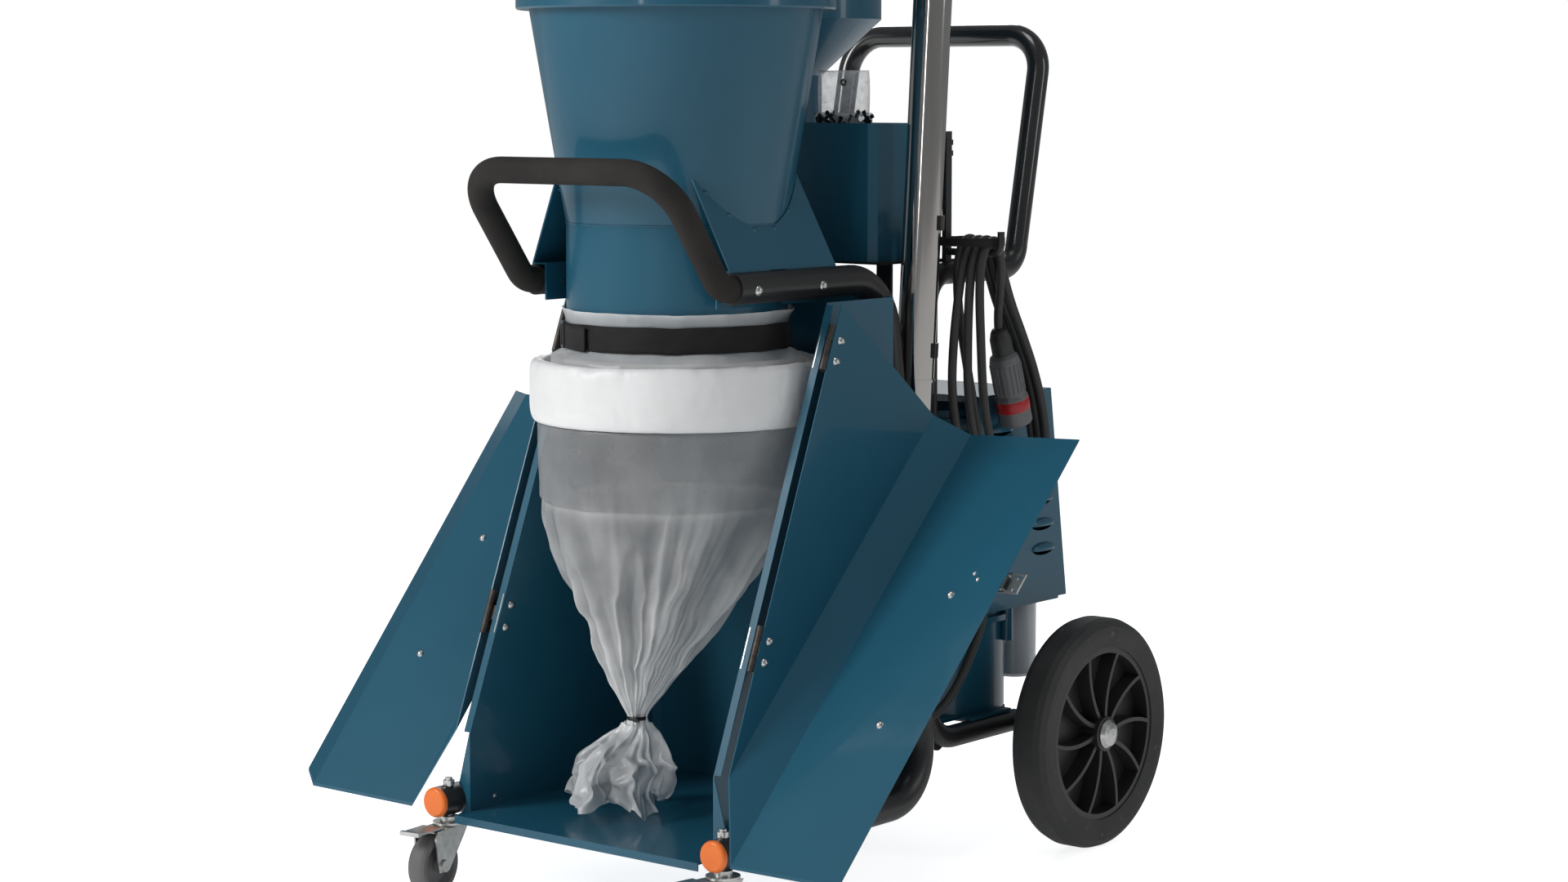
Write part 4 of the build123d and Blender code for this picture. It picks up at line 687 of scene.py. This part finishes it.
def closedRing(name, profile, place, finish, steps=64, body="frame"):
    # A ring spun from a closed outline of (radius, height) points.
    bm = bmesh.new()
    verts = [bm.verts.new((r, 0, z)) for r, z in profile]
    edges = [bm.edges.new((verts[k], verts[(k + 1) % len(verts)])) for k in range(len(verts))]
    bmesh.ops.spin(bm, geom=verts + edges, cent=(0, 0, 0), axis=(0, 0, 1), angle=2 * math.pi, steps=steps,
                   use_merge=True)
    bmesh.ops.remove_doubles(bm, verts=list(bm.verts), dist=1e-6)
    bmesh.ops.recalc_face_normals(bm, faces=list(bm.faces))
    bmesh.ops.transform(bm, matrix=place, verts=list(bm.verts))
    piece = meshPiece(name, bm, body)
    piece.data.materials.append(finish)
    return piece


tie = closedRing("bagTie", tieSetup["band"], Matrix.Translation(tieSetup["at"]), finishOf["nylonTie"])
lockShape = bmesh.new()
lockPlace = Matrix.Translation((tieSetup["at"][0] + 0.012, tieSetup["at"][1] - 0.0155, tieSetup["at"][2]))
bmesh.ops.create_cube(lockShape, size=1.0, matrix=lockPlace @ Matrix.Diagonal((0.009, 0.007, 0.008, 1)))
tailPlace = lockPlace @ Matrix.Rotation(math.radians(-28), 4, "Z") @ Matrix.Translation((0.011, -0.002, 0))
bmesh.ops.create_cube(lockShape, size=1.0, matrix=tailPlace @ Matrix.Diagonal((0.016, 0.0014, 0.0045, 1)))
bmesh.ops.bevel(lockShape, geom=list(lockShape.edges), offset=0.0005, affect="EDGES", segments=2, profile=0.5, material=-1)
tieLock = meshPiece("bagTieLock", lockShape, smooth=False)
tieLock.data.materials.append(finishOf["nylonTie"])
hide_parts("bag_tie")

# the cassette: soft layers of film packed in a ring, a little wavy, in two bands
cassetteSetup = {
    "outline": [  # radius, height, waviness
        (0.2120, 0.8730, 0.001), (0.2200, 0.8768, 0.002), (0.2290, 0.8775, 0.003), (0.2350, 0.8740, 0.003),
        (0.2380, 0.8660, 0.002), (0.2388, 0.8560, 0.0016), (0.2390, 0.8420, 0.0014), (0.2386, 0.8280, 0.0016),
        (0.2394, 0.8120, 0.0018), (0.2390, 0.7980, 0.0018), (0.2372, 0.7860, 0.002), (0.2330, 0.7780, 0.0016),
        (0.2290, 0.7765, 0.001), (0.2278, 0.7830, 0.0), (0.2215, 0.8000, 0.0), (0.2160, 0.8200, 0.0),
        (0.2115, 0.8450, 0.0), (0.2095, 0.8650, 0.0),
    ],
    "steps": 240,
}


def wavyRing(name, outline, steps, finish):
    bm = bmesh.new()
    verts = [bm.verts.new((r, 0, z)) for r, z, wave in outline]
    waves = bm.verts.layers.float.new("wave")
    verts = list(bm.verts)
    for v, (r, z, wave) in zip(verts, outline):
        v[waves] = wave
    edges = [bm.edges.new((verts[k], verts[(k + 1) % len(verts)])) for k in range(len(verts))]
    bmesh.ops.spin(bm, geom=verts + edges, cent=(0, 0, 0), axis=(0, 0, 1), angle=2 * math.pi, steps=steps,
                   use_merge=True)
    bmesh.ops.remove_doubles(bm, verts=list(bm.verts), dist=1e-6)
    bmesh.ops.recalc_face_normals(bm, faces=list(bm.faces))
    for v in bm.verts:
        away = Vector((v.co.x, v.co.y, 0)).normalized()
        at = away * 6
        push = noise.noise(at + Vector((0, 0, v.co.z * 34))) + 0.5 * noise.noise(at * 4 + Vector((3, 0, v.co.z * 60)))
        v.co += away * (min(0.0, push) * v[waves] * 1.6) + Vector((0, 0, 0.7 * push * v[waves]))
        v.co.y += cycloneY
    piece = meshPiece(name, bm)
    piece.data.materials.append(finish)
    finer = piece.modifiers.new("finer", "SUBSURF")
    finer.levels = finer.render_levels = 1
    return piece


cassette = wavyRing("bagCassette", cassetteSetup["outline"], cassetteSetup["steps"], cassetteMaterial)
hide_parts("bag_cassette")

# the strap over the film, with a ladder buckle and its loose end
strapSetup = {
    "radius": 0.1825, "low": 0.8945, "high": 0.9385, "thick": 0.0022, "columns": 200, "rows": 8,
    "wave": 0.0014, "buckleTurn": -131.0,
}


def bandOfWebbing(name, setup):
    bm = bmesh.new()
    bmesh.ops.create_grid(bm, x_segments=setup["columns"], y_segments=setup["rows"], size=1.0)
    mid, half = (setup["low"] + setup["high"]) / 2, (setup["high"] - setup["low"]) / 2 - 0.0012
    for v in bm.verts:
        angle = math.pi * v.co.x
        swell = noise.noise(Vector((math.cos(angle) * 4, math.sin(angle) * 4, v.co.y)))
        r = setup["radius"] + setup["wave"] * swell - 0.0006
        height = mid + half * v.co.y + setup["wave"] * 1.3 * noise.noise(Vector((math.cos(angle) * 3, math.sin(angle) * 3, 5)))
        v.co = Vector((r * math.cos(angle), cycloneY + r * math.sin(angle), height))
    bmesh.ops.remove_doubles(bm, verts=list(bm.verts), dist=1e-5)
    piece = meshPiece(name, bm)
    piece.data.materials.append(webbingMaterial)
    wall = piece.modifiers.new("wall", "SOLIDIFY")
    wall.thickness, wall.offset = setup["thick"], 0.0
    return piece


strap = bandOfWebbing("bagStrap", strapSetup)
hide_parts("bag_strap")


def strapPlace(degrees, out, height=None):
    # A frame on the strap: local x along it, y up and z outwards.
    a = math.radians(degrees)
    outward = Vector((math.cos(a), math.sin(a), 0))
    along = Vector((-math.sin(a), math.cos(a), 0))
    at = outward * (strapSetup["radius"] + out)
    at.y += cycloneY
    at.z = height if height else (strapSetup["low"] + strapSetup["high"]) / 2
    turn = Matrix((along, Vector((0, 0, 1)), outward)).transposed().to_4x4()
    return Matrix.Translation(at) @ turn


buckleShape = bmesh.new()
for x, y, w, h in ((0, 0.019, 0.034, 0.0045), (0, -0.019, 0.034, 0.0045), (-0.0155, 0, 0.0045, 0.036),
                   (0.0155, 0, 0.0045, 0.036), (0.001, 0, 0.0035, 0.036)):
    place = strapPlace(strapSetup["buckleTurn"], 0.0035) @ Matrix.Translation((x, y, 0))
    bmesh.ops.create_cube(buckleShape, size=1.0, matrix=place @ Matrix.Diagonal((w, h, 0.0034, 1)))
bmesh.ops.bevel(buckleShape, geom=list(buckleShape.edges), offset=0.0009, affect="EDGES", segments=2, profile=0.5, material=-1)
buckle = meshPiece("strapBuckle", buckleShape, smooth=False)
buckle.data.materials.append(finishOf["nylonTie"])
endShape = bmesh.new()
bmesh.ops.create_grid(endShape, x_segments=24, y_segments=6, size=1.0)
for v in endShape.verts:
    share = (v.co.x + 1) / 2
    place = strapPlace(strapSetup["buckleTurn"] + 4 + 27 * share, 0.0022 + 0.004 * share ** 3)
    v.co = place @ Vector((0, v.co.y * 0.0195 - 0.002 * share, 0))
strapEnd = meshPiece("strapEnd", endShape)
strapEnd.data.materials.append(webbingMaterial)
wall = strapEnd.modifiers.new("wall", "SOLIDIFY")
wall.thickness, wall.offset = 0.0018, 0.0
print("bag, cassette and strap")

# ---- strap that ties the hank to its hanger
hankTie = {
    "middle": (0.2535, 0.194), "half": (0.0545, 0.0450), "corner": 0.03, "low": 1.0465, "high": 1.0615,
    "columns": 96,
}


def roundedRing(angle, halfX, halfY, power=2.5):
    c, s = math.cos(angle), math.sin(angle)
    r = (abs(c / halfX) ** power + abs(s / halfY) ** power) ** (-1 / power)
    return r * c, r * s


bandShape = bmesh.new()
bmesh.ops.create_grid(bandShape, x_segments=hankTie["columns"], y_segments=3, size=1.0)
for v in bandShape.verts:
    x, y = roundedRing(math.pi * v.co.x, *hankTie["half"])
    lift = 0.0008 * noise.noise(Vector((x * 60, y * 60, 1)))
    height = (hankTie["low"] + hankTie["high"]) / 2 + v.co.y * (hankTie["high"] - hankTie["low"]) / 2 * 0.92
    v.co = Vector((hankTie["middle"][0] + x, hankTie["middle"][1] + y, height + lift))
bmesh.ops.remove_doubles(bandShape, verts=list(bandShape.verts), dist=1e-5)
hankBand = meshPiece("hankStrap", bandShape)
hankBand.data.materials.append(webbingMaterial)
wall = hankBand.modifiers.new("wall", "SOLIDIFY")
wall.thickness, wall.offset = 0.002, 0.0
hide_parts("cable_strap")

# ---- pouch of cable ties in the bin
pouchSetup = {
    "bag": ((0.005, 0.082, 1.05), (0.131, 0.082, 1.268)),
    "header": ((0.014, 0.082, 1.262), (0.124, 0.082, 1.338)),
    "ties": 54, "seed": 5,
}


def pillow(name, low, high, bulge, material, columns=24, rows=36, holeRadius=0.0):
    # Two skins of film sealed at their edges, fuller in the middle.
    bm = bmesh.new()
    hazeAndHighlight = bm.verts.layers.float.new("hazeAndHighlight")
    bmesh.ops.create_grid(bm, x_segments=columns, y_segments=rows, size=1.0)
    middle = [(a + b) / 2 for a, b in zip(low, high)]
    half = [(b - a) / 2 for a, b in zip(low, high)]
    for v in bm.verts:
        u, w = v.co.x, v.co.y
        swell = (1 - abs(u) ** 2.4) * (1 - abs(w) ** 3)
        crease = noise.noise(Vector((u * 3, w * 4, 0.3)))
        # haze rises towards the sealed edges; the creases get a painted highlight, as whiter and less clear film
        v[hazeAndHighlight] = min(1.0, 0.25 + 0.5 * max(0.0, abs(crease)) + 0.6 * max(abs(u), abs(w)) ** 8)
        v.co = Vector((middle[0] + half[0] * u * (1 - 0.03 * w * w), middle[1] - bulge * swell * (1 + 0.5 * crease),
                       middle[2] + half[2] * w + 0.002 * crease * (1 - w * w)))
    back = bmesh.ops.duplicate(bm, geom=list(bm.verts) + list(bm.edges) + list(bm.faces))
    backVerts = [g for g in back["geom"] if isinstance(g, bmesh.types.BMVert)]
    for v in backVerts:
        v.co.y = 2 * middle[1] - v.co.y
    bmesh.ops.remove_doubles(bm, verts=list(bm.verts), dist=1e-5)
    bmesh.ops.recalc_face_normals(bm, faces=list(bm.faces))
    piece = meshPiece(name, bm)
    piece.data.materials.append(material)
    return piece


pouch = pillow("tiePouch", *pouchSetup["bag"], 0.0065, pouchMaterial)
header = pillow("pouchHeader", *pouchSetup["header"], 0.0012, pouchMaterial, 20, 16)
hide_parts("tie_pouch")
holeDisc = closedRing(
    "pouchHole", [(0.0035, -0.0016), (0.0062, -0.0016), (0.0062, 0.0016), (0.0035, 0.0016)],
    Matrix.Translation((0.069, 0.082, 1.318)) @ Matrix.Rotation(math.radians(90), 4, "X"), finishOf["nylonTie"], 24)
random.seed(pouchSetup["seed"])
tiesShape = bmesh.new()
for k in range(pouchSetup["ties"]):
    x = random.uniform(0.014, 0.122)
    z = random.uniform(1.232, 1.262)
    size = random.uniform(0.008, 0.017)
    turn = Matrix.Rotation(random.uniform(-1.2, 1.2), 4, "Y") @ Matrix.Rotation(random.uniform(-0.3, 0.3), 4, "Z")
    place = Matrix.Translation((x, 0.082 + random.uniform(-0.003, 0.003), z)) @ turn
    bmesh.ops.create_cube(tiesShape, size=1.0, matrix=place @ Matrix.Diagonal((0.0045, 0.0013, size * 1.6, 1)))
    if k % 2:
        head = place @ Matrix.Translation((0, 0, size * 0.8))
        bmesh.ops.create_cube(tiesShape, size=1.0, matrix=head @ Matrix.Diagonal((0.0062, 0.0036, 0.0056, 1)))
for k in range(22):
    x = 0.016 + 0.0048 * k
    place = Matrix.Translation((x, 0.082 + random.uniform(-0.0025, 0.0025), 1.15 + random.uniform(-0.004, 0.004)))
    place = place @ Matrix.Rotation(random.uniform(-0.05, 0.05), 4, "Y")
    bmesh.ops.create_cube(tiesShape, size=1.0, matrix=place @ Matrix.Diagonal((0.003, 0.0012, 0.17, 1)))
ties = meshPiece("pouchTies", tiesShape, smooth=False)
ties.data.materials.append(finishOf["nylonTie"])
print("straps and pouch")

# ---- weld tacks along the gussets' cut edge
tackSetup = {"angles": (-37, -24, -8, 9, 25, 38), "size": 0.0042, "coneLow": (0.1785, 1.095), "coneHigh": (0.235, 1.442)}


def coneRadius(z):
    (r0, z0), (r1, z1) = tackSetup["coneLow"], tackSetup["coneHigh"]
    return r0 + max(0.0, z - z0) * (r1 - r0) / (z1 - z0)


def gussetZ(x):
    # Height of the gusset's outer face at a distance from the middle.
    return 1.025 + (0.207 - x) * (1.170 - 1.025) / (0.207 - 0.140)


for sideName, sign in (("left", 1), ("right", -1)):
    tacks = bmesh.new()
    for degrees in tackSetup["angles"]:
        a = math.radians(degrees)
        z = 1.12
        for _ in range(12):  # settles on where the plate's face meets the cone
            z = gussetZ((coneRadius(z) + 0.002) * math.cos(a)) + 0.001
        r = coneRadius(z) + 0.0018
        place = Matrix.Translation((sign * r * math.cos(a), cycloneY + r * math.sin(a), z))
        shape = Matrix.Rotation(sign * a, 4, "Z") @ Matrix.Diagonal((1.0, 2.1, 1.0, 1))
        bmesh.ops.create_icosphere(tacks, subdivisions=2, radius=tackSetup["size"], matrix=place @ shape)
    piece = meshPiece(f"weldTacks_{sideName}", tacks)
    piece.data.materials.append(finishOf["bluePowderCoat"])
print("weld tacks")
